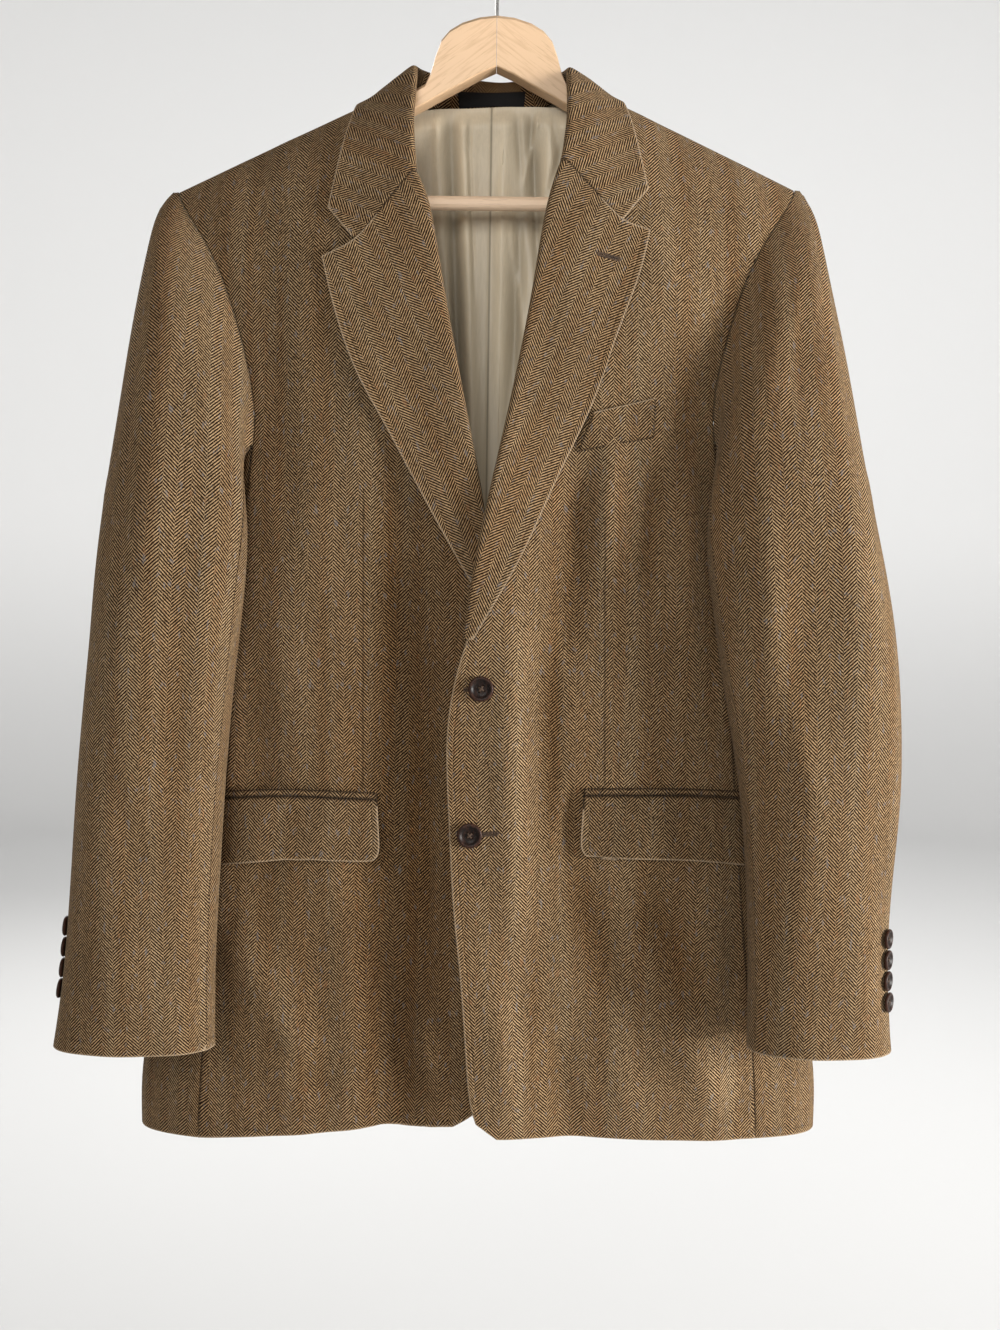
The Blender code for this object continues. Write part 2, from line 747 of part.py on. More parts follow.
def sleeve_face(side, around, run):
    """The sleeve's surface at an angle around and a share of the way from the armhole to the cuff."""
    around = np.mod(around, 360)
    seam = armhole(side, around)
    start_down = -seam[..., 2]
    roll = look(CAP_ROLL, "roll", around, "around")
    angle = np.pi / 2 * np.clip(run / CAP_SHARE, 0, 1)
    swung = np.sin(angle)
    below = (run - CAP_SHARE) / (1 - CAP_SHARE)
    full = CUFF_DOWN[side] - start_down - roll
    down = start_down + roll * (1 - np.cos(angle)) + full * np.clip(below, 0, 2)
    section = sleeve_section(side, around, down)
    free_x = blend(seam[..., 0], section[0], swung) + SIDES[side] * GAP
    free_y = blend(seam[..., 1], section[1], swung)
    near_x, near_y = round_the_body(side, seam, section, down, swung)
    near = ramp(*BESIDE_STARTS, around) * (1 - ramp(*BESIDE_STOPS, around))
    top = np.clip(np.cos(np.radians(around)), 0, 1) ** 2
    down = down - CAP_RISE * np.sin(2 * angle) * top * (run < CAP_SHARE)
    push = fold_height(SLEEVE_FOLDS[side], around, down) * ramp(0.5, 1, swung)
    out, ahead = section_round(around)
    x = blend(free_x, near_x, near) + SIDES[side] * out * push
    return point(x, blend(free_y, near_y, near) - ahead * push, down)


SLEEVE_ROWS = np.concatenate([CAP_SHARE * np.linspace(0, 1, 5)[:-1], np.linspace(CAP_SHARE, 1.0, 14)])
UNDER_AROUND = np.concatenate(
    [np.linspace(FOREARM_SEAM, BACK_SEAM_AROUND, UNDERARM_COLUMNS), BACK_AROUND[-2::-1]]
)


def sleeve_piece(name, side, share, start, end, outward, material):
    """One piece of a sleeve, between two seams given as angles around at each row."""
    across, run = grid(share, SLEEVE_ROWS)
    seam_gap = blend(SLEEVE_CAP_GAP, SLEEVE_SEAM_GAP, ramp(CAP_SHARE / 2, 2 * CAP_SHARE, run))
    around = blend(start + seam_gap, end - seam_gap, across)
    return sheet(name, partial(sleeve_face, side), around, run, outward, TWEED, material, SLEEVE_STEPS)


def sleeve(side, material):
    rows = ELBOW_SEAM[side]
    elbow = look(rows, "around", blend(rows["down"][0], rows["down"][-1], SLEEVE_ROWS))[:, None]
    top = FRONT_AROUND / FOREARM_SEAM
    under = (UNDER_AROUND - FOREARM_SEAM) / (360 - FOREARM_SEAM)
    return [
        sleeve_piece(f"sleeve_top_{side}", side, top, elbow, FOREARM_SEAM, (0, -1, 0), material),
        sleeve_piece(f"sleeve_under_{side}", side, under, FOREARM_SEAM, 360 + elbow, (0, 1, 0), material),
    ]


# --- lapels and collar --------------------------------------------------------------------------

LEAF_COLUMNS = np.array([0.0, 0.25, 0.5, NOTCH_SHARE, 0.87, 1.0])
FOLD_COLUMNS = np.array([-1.0, -0.72, -0.45, -0.2])
LAPEL_ROWS = np.concatenate([np.linspace(0.0, 0.8, 10), [0.88, 0.95, 1.0]])
LAPEL_EDGE_LIFT = 3.4
GORGE_STEP = 0.25
GORGE_REACH = 0.32


def gorge_line(side, across, tip):
    """x and down along the gorge, from the fold to the notch and on to a tip."""
    fold = (float(look(ROLL[side], "x", GORGE_DOWN[side])), GORGE_DOWN[side])
    shares = [0.0, NOTCH_SHARE, 1.0]
    return [np.interp(across, shares, [fold[k], NOTCH[side][k], tip[k]]) for k in (0, 1)]


def folded(side, x, down, across):
    """A leaf over the front: across below 0 it goes round the fold, above 0 it lies on top."""
    sign = SIDES[side]
    leaf = np.clip(across, 0, 1.5)
    radius = fold_radius(side, down)
    angle = np.pi / 2 * (1 + 2 * np.clip(across, -1.5, 0))
    turned = np.where(across < 0, 1 - np.cos(angle), np.clip(1 - leaf / NOTCH_SHARE, 0, 1))
    x = x + sign * radius * turned
    leaf_lift = blend(2 * radius - TWEED, LAPEL_EDGE_LIFT, leaf**0.8)
    lift = np.where(across < 0, radius - TWEED + radius * np.sin(angle), leaf_lift)
    return point(x, front_y(side, x, down) - lift, down)


def lapel_face(side, across, up):
    """The lapel's surface, from the break at 0 up to the gorge at 1."""
    leaf = np.clip(across, 0, 1.5)
    fold_down = blend(BREAK_DOWN[side], GORGE_DOWN[side], up)
    edge_down = blend(BREAK_DOWN[side], LAPEL_TIP[side][1], up)
    x = blend(look(ROLL[side], "x", fold_down), look(LAPEL_EDGE[side], "x", edge_down), leaf)
    down = blend(fold_down, edge_down, leaf)
    gorge_x, gorge_down = gorge_line(side, leaf, LAPEL_TIP[side])
    straight_x = blend(float(look(ROLL[side], "x", GORGE_DOWN[side])), LAPEL_TIP[side][0], leaf)
    straight_down = blend(GORGE_DOWN[side], LAPEL_TIP[side][1], leaf)
    near_gorge = ramp(1 - GORGE_REACH, 1, up)
    x = x + (gorge_x - straight_x) * near_gorge
    down = down + (gorge_down - straight_down + GORGE_STEP) * near_gorge
    return folded(side, x, down, across)


def lapel(side, material):
    across, up = grid(np.concatenate([FOLD_COLUMNS, LEAF_COLUMNS]), LAPEL_ROWS)
    surface = partial(lapel_face, side)
    sheet(f"lapel_{side}", surface, across, up, (0, -1, 0), LAPEL_CLOTH, material, LEAF_STEPS)


# The collar by the share of the way from the centre of the back (0) to the gorge (1): its fold,
# its free edge as x and the fall over the shoulder, and its foot the same way. x is measured from
# the neck's centre.
COLLAR_COLUMNS = "round fold_x fold_y fold_down edge_x edge_fall foot_x foot_fall"
COLLAR_BACK = (
    (0.0, 0, 31, 110, 0, -56, 0, -29),
    (0.17, 29, 28.5, 108.5, 42, -51, 26.5, -27),
    (0.29, 48, 21, 107, 76, -34, 44.5, -20.3),
    (0.38, 58, 11, 107.5, 97, -15, 57.5, -8),
)
COLLAR = {
    "left": table(
        COLLAR_COLUMNS,
        *COLLAR_BACK,
        (0.46, 60.5, -1, 110, 109, 0, 63.2, 0),
        (0.6, 60, -14, 124, 112.5, 17, 63.4, 10),
        (0.8, 61, -33, 160, 120.5, 50, 62.5, 39.5),
        (1.0, 57.4, -43, 207, 128.2, 82.8, 61.9, 83.6),
    ),
    "right": table(
        COLLAR_COLUMNS,
        *COLLAR_BACK,
        (0.46, 60.5, -1, 110, 107.4, 0, 63.2, 0),
        (0.6, 60.6, -14, 121, 111.2, 14, 63.4, 7),
        (0.8, 60.6, -32, 152, 118.7, 43, 62.3, 34),
        (1.0, 55.5, -43, 197, 125.9, 69.5, 60, 77.7),
    ),
}
COLLAR_FOLD = 4.0
COLLAR_LIFT = 3.6
COLLAR_BULGE = 2.5
COLLAR_ROWS = np.array(
    [0, 0.085, 0.17, 0.23, 0.29, 0.34, 0.38, 0.41, 0.435, 0.46, 0.485, 0.515, 0.55, 0.6, 0.67, 0.75, 0.84, 0.92, 1]
)
COLLAR_REACH = 0.3
STAND_COLUMNS = np.array([-2.0, -1.5])
FOOT_WIDTH = 0.5
FOOT_TUCK = 2.5
FOOT_TUCKS = (0.4, 0.62)
SMALLEST_REACH = 0.2


def unit(vectors):
    return vectors / np.linalg.norm(vectors, axis=-1, keepdims=True)


def on_yoke(side, x, fall, lift):
    """A place over the shoulder, lifted off it: fall is down the front, or the back if below 0."""

    def surface(across, dropped):
        down = shoulder_down(across) + np.abs(dropped)
        y = np.where(dropped > 0, front_y(side, across, down), back_y(across, down))
        return point(across, y, down)

    step = 0.05
    along = surface(x + step, fall) - surface(x - step, fall)
    over = surface(x, fall + step) - surface(x, fall - step)
    out = unit(np.cross(along, over))
    return surface(x, fall) + out * lift


def outside_yoke(at, lift):
    """Points moved out, where they have to be, to lie at least a lift off the fronts and backs."""
    x, y, down = at[..., 0], at[..., 1], -at[..., 2]
    front = y < 0
    depth = np.where(front, -look(BODY, "front", down), look(BODY, "back", down)) * ring_depth(x, down)
    roll = np.where(front, FRONT_ROLL, BACK_ROLL)
    rise = roll - (down - shoulder_down(x))
    size = np.hypot(y / (depth + lift), np.clip(rise, 0, None) / (roll + lift))
    grow = np.maximum(1 / np.maximum(size, SMALLEST_REACH), 1)
    return point(x, y * grow, down - np.clip(rise, 0, None) * (grow - 1))


def collar_lines(side, around):
    """The collar's fold, free edge and foot at a share of the way round the neck."""
    rows = {column: look(COLLAR[side], column, around, "round") for column in COLLAR[side]}
    fold = point(neck_x(side, rows["fold_x"]), rows["fold_y"], rows["fold_down"])
    edge = on_yoke(side, neck_x(side, rows["edge_x"]), rows["edge_fall"], COLLAR_LIFT)
    foot = on_yoke(side, neck_x(side, rows["foot_x"]), rows["foot_fall"], -TWEED)
    return fold, edge, foot


def plain_collar(side, across, around):
    """The collar without its gorge: -2 to -1 is the stand, -1 to 0 the fold, 0 to 1 the fall."""
    fold, edge, foot = collar_lines(side, around)
    ahead = collar_lines(side, around + 0.01)[0] - collar_lines(side, around - 0.01)[0]
    fall_way = unit(edge - fold)
    out = unit(np.cross(ahead * SIDES[side], fall_way))
    centre = fold + fall_way * COLLAR_FOLD
    angle = (np.pi / 2 * (1 + 2 * np.clip(across, -1, 0)))[..., None]
    rounded = centre + COLLAR_FOLD * (out * np.sin(angle) - fall_way * np.cos(angle))
    tucked = centre - out * COLLAR_FOLD + fall_way * FOOT_TUCK
    foot = blend(foot, tucked, ramp(*FOOT_TUCKS, around)[..., None])
    leaf = np.clip(across, 0, 1.5)[..., None]
    fall = blend(centre + out * COLLAR_FOLD, edge, leaf) + out * COLLAR_BULGE * 4 * leaf * (1 - leaf)
    fall = outside_yoke(fall, COLLAR_LIFT)
    stand = blend(foot, centre - out * COLLAR_FOLD, (np.clip(across, -2.5, -1) + 2)[..., None])
    at = np.where(across[..., None] > 0, fall, rounded)
    return np.where(across[..., None] < -1, stand, at)


def collar_end(side, across):
    """The collar's front end: its foot, its fold, then the gorge, the notch and the collar's tip."""
    x, down = gorge_line(side, np.clip(across, 0, 1.5), COLLAR_TIP[side])
    at = folded(side, x, down - GORGE_STEP, np.clip(across, -1, 1.5))
    tuck = np.clip(-1 - across, 0, 1.5) * SIDES[side] * FOOT_WIDTH
    return at + np.stack([tuck, 0 * tuck, 0 * tuck], axis=-1)


def collar_side(side, across, around):
    near_gorge = ramp(1 - COLLAR_REACH, 1, around)[..., None]
    change = collar_end(side, across) - plain_collar(side, across, np.ones_like(around))
    return plain_collar(side, across, around) + change * near_gorge


def collar_face(across, around):
    """The whole collar: around runs from the left gorge at -1 to the right one at 1."""
    left = collar_side("left", across, np.clip(-around, 0, 1.1))
    right = collar_side("right", across, np.clip(around, 0, 1.1))
    return np.where((around < 0)[..., None], left, right)


def collar(material):
    rows = np.concatenate([-COLLAR_ROWS[:0:-1], COLLAR_ROWS])
    across, around = grid(np.concatenate([STAND_COLUMNS, FOLD_COLUMNS, LEAF_COLUMNS]), rows)
    sheet("collar", collar_face, across, around, (0, 0, 1), LAPEL_CLOTH, material, LEAF_STEPS)


# --- lining and label ---------------------------------------------------------------------------

LINING_AWAY = 5.0
LINING = table(
    "down half_width",
    (140, 60),
    (175, 150),
    (230, 205),
    (300, 186),
    (400, 176),
    (460, 188),
    (600, 205),
    (800, 222),
    (950, 236),
)
LINING_TOP = -2.0
LINING_YOKE = 17.0
LINING_HEM = 950.0
LINING_FOLDS = table(
    "x_top down_top x_bottom down_bottom half_width height",
    (-2, 140, -6, 800, 5, 5.0),
    (-34, 140, -40, 560, 9, 3.5),
    (26, 150, 34, 600, 9, 3.5),
    (-60, 240, -72, 700, 13, -3.0),
    (58, 260, 66, 720, 13, -3.0),
    (-120, 300, -132, 800, 18, 3.0),
    (112, 320, 124, 820, 18, 3.0),
)
LABEL_REACH = 2
LABEL_FOOT = -1.86
LABEL_TOP = -1.3
LABEL_CLOTH = 0.7


def lining_face(x, down):
    """The lining hangs just inside the back and has soft folds of its own."""
    y = back_y(x, down) - TWEED - LINING_AWAY
    return point(x, y - fold_height(LINING_FOLDS, x, down), down)


def lining(backs, material):
    """The lining follows the backs and is sewn to them along its hem."""
    rows = np.concatenate([[0, 0.02, 0.05], np.linspace(0.1, 1, 9)])
    across, share = grid(np.linspace(-1, 1, 16), rows)
    top_x = CENTRE + across * LINING["half_width"][2]
    side_x = CENTRE + across * look(LINING, "half_width", blend(LINING["down"][2], LINING_HEM, share))
    x = np.where(share < 0.05, top_x, side_x)
    low = np.maximum(neck_fall(x - NECK_CENTRE), LINING_YOKE) + LINING_TOP
    down = blend(shoulder_down(x) + low, LINING_HEM, share)
    out = evened(normals(lining_face, x, down, (0, -1, 0), FACE_STEPS))
    at = lining_face(x, down)
    at[-1, :, 1] = -cloth_height(backs, point(x[-1], 0, down[-1]), TO_VIEWER) - LINING_CLOTH - LYING
    wall("lining_back", at, at - out * LINING_CLOTH, material)


def label(material):
    """A bare woven label on the collar's stand, made from the stand's own points."""
    rows = COLLAR_ROWS[: LABEL_REACH + 1]
    across, around = grid([LABEL_FOOT, LABEL_TOP], np.concatenate([-rows[:0:-1], rows]))
    out = normals(collar_face, across, around, (0, -1, 0), LEAF_STEPS)
    at = collar_face(across, around) + out * GAP
    wall("label", at + out * LABEL_CLOTH, at, material)


# --- pockets ------------------------------------------------------------------------------------

# Each pocket along its mouth: x and down of the jet's top at the inner and the outer end.
POCKET = {
    "right": table("share x down", (0, 75, 692.5), (0.5, 146, 691.5), (1, 221, 696.5)),
    "left": table("share x down", (0, -88.5, 697.5), (0.5, -158, 695.5), (1, -231, 700.5)),
}
JET_HEIGHT = 5.6
FLAP_HEIGHT = 49.0
FLAP_DROP = 4.5
FLAP_FLARE = 3.0
FLAP_CORNER = 10.0
FLAP_LIFT = 0.6
FLAP_SQUARE = 0.3
FLAP_COLUMNS = np.concatenate([[0, 0.03], np.linspace(0.12, 0.93, 11), [1.0]])
FLAP_ROWS = np.array([0, 0.3, 0.6, 0.8, 0.92, 0.98, 1.0])


def pocket_place(side, share, low):
    """x and down in a pocket: a share along its mouth and a distance below the jet's top edge."""
    rows = POCKET[side]
    return look(rows, "x", share, "share"), look(rows, "down", share, "share") + low


def raised(name, nodes, surface, x, down, lift, material):
    """A piece that lies on panels: places on their faces, moved out."""
    out = normals(surface, x, down, (0, -1, 0), FACE_STEPS)
    at = point(x, -cloth_height(nodes, point(x, 0, down), TO_VIEWER), down) + out * lift
    wall(name, at + out * FLAP_CLOTH, at, material)


def pocket(side, panels, material):
    surface = partial(front_face, side)
    share, low = grid(FLAP_COLUMNS, [0.0, JET_HEIGHT])
    x, down = pocket_place(side, share, low)
    raised(f"pocket_jet_{side}", panels, surface, x, down, LYING, material)
    share, fallen = grid(FLAP_COLUMNS, FLAP_ROWS)
    height = FLAP_HEIGHT + FLAP_DROP * share
    x, down = pocket_place(side, share, JET_HEIGHT + GAP + fallen * height)
    into_corner = np.clip((fallen * height - height + FLAP_CORNER) / FLAP_CORNER, 0, 1)
    rounding = FLAP_CORNER * (1 - np.sqrt(1 - into_corner**2))
    inner = SIDES[side] * (rounding - FLAP_FLARE * fallen)
    x = x + inner * (1 - ramp(0, FLAP_SQUARE, share)) - inner * ramp(1 - FLAP_SQUARE, 1, share)
    lift = LYING + FLAP_LIFT * fallen
    raised(f"pocket_flap_{side}", panels, surface, x, down, lift[..., None], material)


# The breast welt's corners: its top and foot at the lapel's edge and at its outer end.
WELT = table("share x_top down_top x_foot down_foot", (0, 79.5, 396, 67, 427), (1, 128.7, 383.7, 127.4, 415.3))


def breast_welt(panel, material):
    share, fallen = grid(np.linspace(0, 1, 10), np.linspace(0, 1, 5))
    corner = {name: np.interp(share, WELT["share"], WELT[name]) for name in WELT}
    x = blend(corner["x_top"], corner["x_foot"], fallen)
    down = blend(corner["down_top"], corner["down_foot"], fallen)
    raised("breast_welt", [panel], partial(front_face, "right"), x, down, LYING, material)


# --- buttons ------------------------------------------------------------------------------------

# A button's turned profile, from the middle of its back to the middle of its face, as shares of
# its radius and of its thickness.
BUTTON_PROFILE = table(
    "radius height",
    (0.0, 0.0),
    (0.72, 0.0),
    (1.0, 0.4),
    (0.97, 0.82),
    (0.86, 1.0),
    (0.7, 0.86),
    (0.0, 0.8),
)
FRONT_BUTTONS = table("x down", (-6.7, 613.3), (-14.6, 728.5))
FRONT_BUTTON_RADIUS = 10.0
FRONT_BUTTON_THICKNESS = 3.8
CUFF_BUTTON_RADIUS = 7.8
CUFF_BUTTON_THICKNESS = 3.0
CUFF_BUTTON_DOWN = np.array([802.0, 818.5, 835.0, 851.5])
CUFF_BUTTON_AROUND = {"left": 4.0, "right": 27.0}


def button(name, at, out, radius, thickness, sides, material):
    """A turned button whose back lies at a place and whose face looks along out."""
    form = bmesh.new()
    radii = BUTTON_PROFILE["radius"] * radius
    heights = BUTTON_PROFILE["height"] * thickness
    out = unit(out)
    level = unit(np.cross(out, (0.0, 0.0, 1.0)))
    upright = np.cross(level, out)
    rings = []
    for ring_radius, height in zip(radii[1:-1], heights[1:-1]):
        angles = np.arange(sides) * 2 * np.pi / sides
        spokes = np.outer(np.cos(angles), level) + np.outer(np.sin(angles), upright)
        rings.append([form.verts.new((at + out * height + spoke * ring_radius) * MM) for spoke in spokes])
    for low, high in zip(rings, rings[1:]):
        for k in range(sides):
            form.faces.new((low[k], low[(k + 1) % sides], high[(k + 1) % sides], high[k]))
    for ring, height in ((rings[0], heights[0]), (rings[-1], heights[-1])):
        hub = form.verts.new((at + out * height) * MM)
        for k in range(sides):
            form.faces.new((ring[k], ring[(k + 1) % sides], hub))
    return new_object(name, form, material)


def seated_button(name, nodes, middle, out, radius, thickness, sides, material):
    """A button set just clear of the cloth under it."""
    level = unit(np.cross(out, (0.0, 0.0, 1.0)))
    angles = np.linspace(0, 2 * np.pi, 25)[:, None]
    rim = middle + radius * (np.cos(angles) * level + np.sin(angles) * np.cross(level, out))
    height = float(np.max(cloth_height(nodes, rim, out))) + GAP
    button(name, middle + out * height, out, radius, thickness, sides, material)


def front_buttons(panel, material):
    for number, (x, down) in enumerate(zip(FRONT_BUTTONS["x"], FRONT_BUTTONS["down"]), 1):
        middle = np.array([x, 0.0, -down])
        size = (FRONT_BUTTON_RADIUS, FRONT_BUTTON_THICKNESS, 24)
        seated_button(f"button_front_{number}", [panel], middle, TO_VIEWER, *size, material)


def cuff_buttons(side, pieces, material):
    """Four buttons in a touching row beside the elbow seam."""
    surface = partial(sleeve_face, side)
    runs = np.linspace(CAP_SHARE, 1, 200)
    around = np.full(200, CUFF_BUTTON_AROUND[side])
    downs = -surface(around, runs)[:, 2]
    for number, down in enumerate(CUFF_BUTTON_DOWN, 1):
        at, run = np.full((1, 1), around[0]), np.full((1, 1), np.interp(down, downs, runs))
        out = normals(surface, at, run, (SIDES[side], -0.5, 0), SLEEVE_STEPS)[0, 0]
        size = (CUFF_BUTTON_RADIUS, CUFF_BUTTON_THICKNESS, 12)
        seated_button(f"button_cuff_{side}_{number}", pieces, surface(at, run)[0, 0], out, *size, material)


# --- hanger -------------------------------------------------------------------------------------

# An arm's outline from the mitre outwards. The dome rises between the collar's sides, the arm
# follows the shoulder and the foot at its end holds the bar.
ARM = table(
    "x top bottom",
    (0.15, 70, 111.3),
    (14, 71.6, 117.5),
    (28, 76, 125.2),
    (38, 82, 130.6),
    (45, 90, 134.2),
    (49.5, 102, 136.8),
    (53, 115, 138.8),
    (58, 125.5, 141.5),
    (68, 130.6, 146.8),
    (100, 144.4, 162),
    (140, 163, 179.6),
    (180, 182, 198),
    (193.8, 188.8, 205),
    (194.1, 189, 226),
    (214, 198.6, 229.5),
    (221, 203.5, 224),
)
ARM_HALF_DEPTH = 9.0
ARM_ROUNDING = 3.0
BAR_DOWN = 219.0
BAR_RADIUS = 5.8
BAR_END = 193.5
WIRE_RADIUS = 1.5
HOOK_RADIUS = 18.0
SHAFT_TOP = 58.0
SHAFT_FOOT = 69.7
HOOK_START = -58.0
HOOK_END = 200.0
HOOK_POINTS = 22
BEND_POINTS = 6
BEND_RISE = 9.0
BEND_RUN = 12.0


def hanger_arm(side, material):
    """One arm: rounded rectangular sections along its outline, closed by its two ends."""
    form = bmesh.new()
    depth, corner = ARM_HALF_DEPTH, ARM_ROUNDING
    rings = []
    for x, top, bottom in zip(ARM["x"], ARM["top"], ARM["bottom"]):
        places = [(-depth, top + corner), (-depth + corner, top), (depth - corner, top), (depth, top + corner)]
        places += [(depth, bottom - 1), (depth - 1, bottom), (1 - depth, bottom), (-depth, bottom - 1)]
        rings.append([form.verts.new((SIDES[side] * x * MM, y * MM, -down * MM)) for y, down in places])
    for low, high in zip(rings, rings[1:]):
        for k in range(8):
            form.faces.new((low[k], low[(k + 1) % 8], high[(k + 1) % 8], high[k]))
    form.faces.new(rings[0])
    form.faces.new(rings[-1])
    new_object(f"hanger_arm_{side}", form, material)


def hanger_bar(material):
    form = bmesh.new()
    place = Matrix.Translation((0, 0, -BAR_DOWN * MM)) @ Matrix.Rotation(math.pi / 2, 4, "Y")
    radius, length = BAR_RADIUS * MM, 2 * BAR_END * MM
    bmesh.ops.create_cone(
        form, cap_ends=True, segments=16, radius1=radius, radius2=radius, depth=length, matrix=place
    )
    new_object("hanger_bar", form, material)


def hook_route():
    """The wire's middle line: up the shaft, across to the loop, and round it to the tip."""
    radius = HOOK_RADIUS + WIRE_RADIUS
    angles = np.radians(np.linspace(HOOK_START, HOOK_END, HOOK_POINTS))
    loop = np.stack([radius * np.cos(angles), 0 * angles, radius * np.sin(angles) - HOOK_RADIUS], axis=-1)
    shaft = np.array([[0, 0, -SHAFT_FOOT], [0, 0, -SHAFT_TOP]])
    share = np.linspace(0, 1, BEND_POINTS)[1:-1, None]
    start, end = shaft[-1], loop[0]
    above = start + np.array([0, 0, BEND_RISE])
    before = end - np.array([-np.sin(angles[0]), 0, np.cos(angles[0])]) * BEND_RUN
    first = blend(blend(start, above, share), blend(above, before, share), share)
    second = blend(blend(above, before, share), blend(before, end, share), share)
    return np.concatenate([shaft, blend(first, second, share), loop])


def hanger_hook(material):
    line = bpy.data.curves.new("hanger_hook", "CURVE")
    line.dimensions = "3D"
    line.bevel_depth = WIRE_RADIUS * MM
    line.bevel_resolution = 2
    line.use_fill_caps = True
    route = hook_route() * MM
    spline = line.splines.new("POLY")
    spline.points.add(len(route) - 1)
    for place, at in zip(spline.points, route):
        place.co = (*at, 1.0)
    line.materials.append(material)
    bpy.context.scene.collection.objects.link(bpy.data.objects.new("hanger_hook", line))


def build():
    for old in list(bpy.data.objects):
        bpy.data.objects.remove(old)
    tweed = finish("tweed", (0.21, 0.145, 0.09), 0.95)
    satin = finish("lining_satin", (0.38, 0.35, 0.29), 0.45)
    black = finish("label_black", (0.015, 0.015, 0.02), 0.7)
    horn = finish("horn", (0.03, 0.018, 0.014), 0.3)
    wood = finish("pale_wood", (0.78, 0.55, 0.33), 0.45)
    steel = finish("steel_wire", (0.55, 0.55, 0.56), 0.3, metallic=1.0)
    backs = []
    for side in SIDES:
        panels = [front_panel(side, tweed), side_panel(side, tweed)]
        backs.append(back_panel(side, tweed))
        sleeve_pieces = sleeve(side, tweed)
        lapel(side, tweed)
        pocket(side, panels, tweed)
        cuff_buttons(side, sleeve_pieces, horn)
        hanger_arm(side, wood)
    collar(tweed)
    breast_welt(panels[0], tweed)
    front_buttons(panels[0], horn)
    lining(backs, satin)
    label(black)
    hanger_bar(wood)
    hanger_hook(steel)


build()
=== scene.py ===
"""A herringbone tweed jacket on its wooden hanger, dressed piece by piece as it is put together.

Left and right are the viewer's. Lengths are in metres, in the tables of folds in mm.
"""

import math

import bmesh
import bpy
import numpy as np
from mathutils import Matrix, Vector
from mathutils.bvhtree import BVHTree
from mathutils.kdtree import KDTree


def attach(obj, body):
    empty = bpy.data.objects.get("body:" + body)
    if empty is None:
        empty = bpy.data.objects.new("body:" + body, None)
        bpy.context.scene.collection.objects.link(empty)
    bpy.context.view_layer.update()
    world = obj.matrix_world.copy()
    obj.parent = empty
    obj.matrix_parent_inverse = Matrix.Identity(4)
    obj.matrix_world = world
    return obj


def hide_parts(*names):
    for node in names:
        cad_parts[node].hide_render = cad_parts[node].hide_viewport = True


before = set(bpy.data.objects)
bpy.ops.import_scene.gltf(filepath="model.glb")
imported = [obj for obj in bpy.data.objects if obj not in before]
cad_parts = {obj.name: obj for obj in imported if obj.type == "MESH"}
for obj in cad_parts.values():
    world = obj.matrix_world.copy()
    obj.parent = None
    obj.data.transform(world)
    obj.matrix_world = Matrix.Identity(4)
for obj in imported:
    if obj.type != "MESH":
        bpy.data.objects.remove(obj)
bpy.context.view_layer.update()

# ----------------------------------------
# Studio. A pale round room with a coved floor. A soft lamp stands level with the jacket on
# the right, a weaker one above in front; one lights the wall, one the back of the jacket.

CAMERA_AT = (0.00795, -1.160, -0.5435)
CAMERA_PITCH = math.radians(-2.7)
CAMERA_ROLL = math.radians(0.6)
CAMERA_LENS = 37.68


def placed(name, data):
    """A new object in the scene."""
    made = bpy.data.objects.new(name, data)
    bpy.context.scene.collection.objects.link(made)
    return made


camera = placed("camera", bpy.data.cameras.new("camera"))
camera.data.lens = CAMERA_LENS
camera.data.sensor_width = 36.0
pitched = Matrix.Rotation(math.radians(90) + CAMERA_PITCH, 4, "X")
camera.matrix_world = Matrix.Translation(CAMERA_AT) @ pitched @ Matrix.Rotation(CAMERA_ROLL, 4, "Z")
bpy.context.scene.camera = camera
bpy.context.scene.view_settings.view_transform = "Standard"

ROOM_RADIUS = 7.0
ROOM_FLOOR = -1.6
COVE_RADIUS = 1.6
ROOM_HEIGHT = 6.0
COVE_STEPS = 12
ROUND_STEPS = 96
ROLLER_GRAIN = 90.0
WELD = 1e-5
WALL_COLOUR = (0.80, 0.80, 0.80, 1)
FLOOR_COLOUR = (0.60, 0.60, 0.60, 1)
DAYLIGHT_COLOUR = (1.0, 0.985, 0.96, 1)
DAYLIGHT = 0.20


def joined(tree, node, inputs):
    """Sets a node's sockets, each to a value or joined to another node's socket."""
    for key, value in inputs.items():
        if isinstance(value, bpy.types.NodeSocket):
            tree.links.new(value, node.inputs[key])
        else:
            node.inputs[key].default_value = value


def nodes_of(name):
    """A new node material and a function that adds and joins nodes in it."""
    material = bpy.data.materials.new(name)
    material.use_nodes = True

    def add(kind, inputs=(), **settings):
        node = material.node_tree.nodes.new("ShaderNode" + kind)
        for key, value in settings.items():
            setattr(node, key, value)
        joined(material.node_tree, node, dict(inputs))
        return node

    return material, add


def ranged(add, value, start, end, low=0.0, high=1.0, **settings):
    """Spreads the stretch of a value between start and end from low to high."""
    limits = {"Value": value, "From Min": start, "From Max": end, "To Min": low, "To Max": high}
    return add("MapRange", limits, **settings).outputs[0]


def clouds(add, place, scale, detail=2.0, **more):
    """Soft uneven values round a half."""
    return add("TexNoise", {"Vector": place, "Scale": scale, "Detail": detail, **more}).outputs[0]


def blended(add, share, first, second):
    """The first colour with a share of the second laid over it."""
    return add("Mix", {"Factor": share, 6: first, 7: second}, data_type="RGBA").outputs[2]


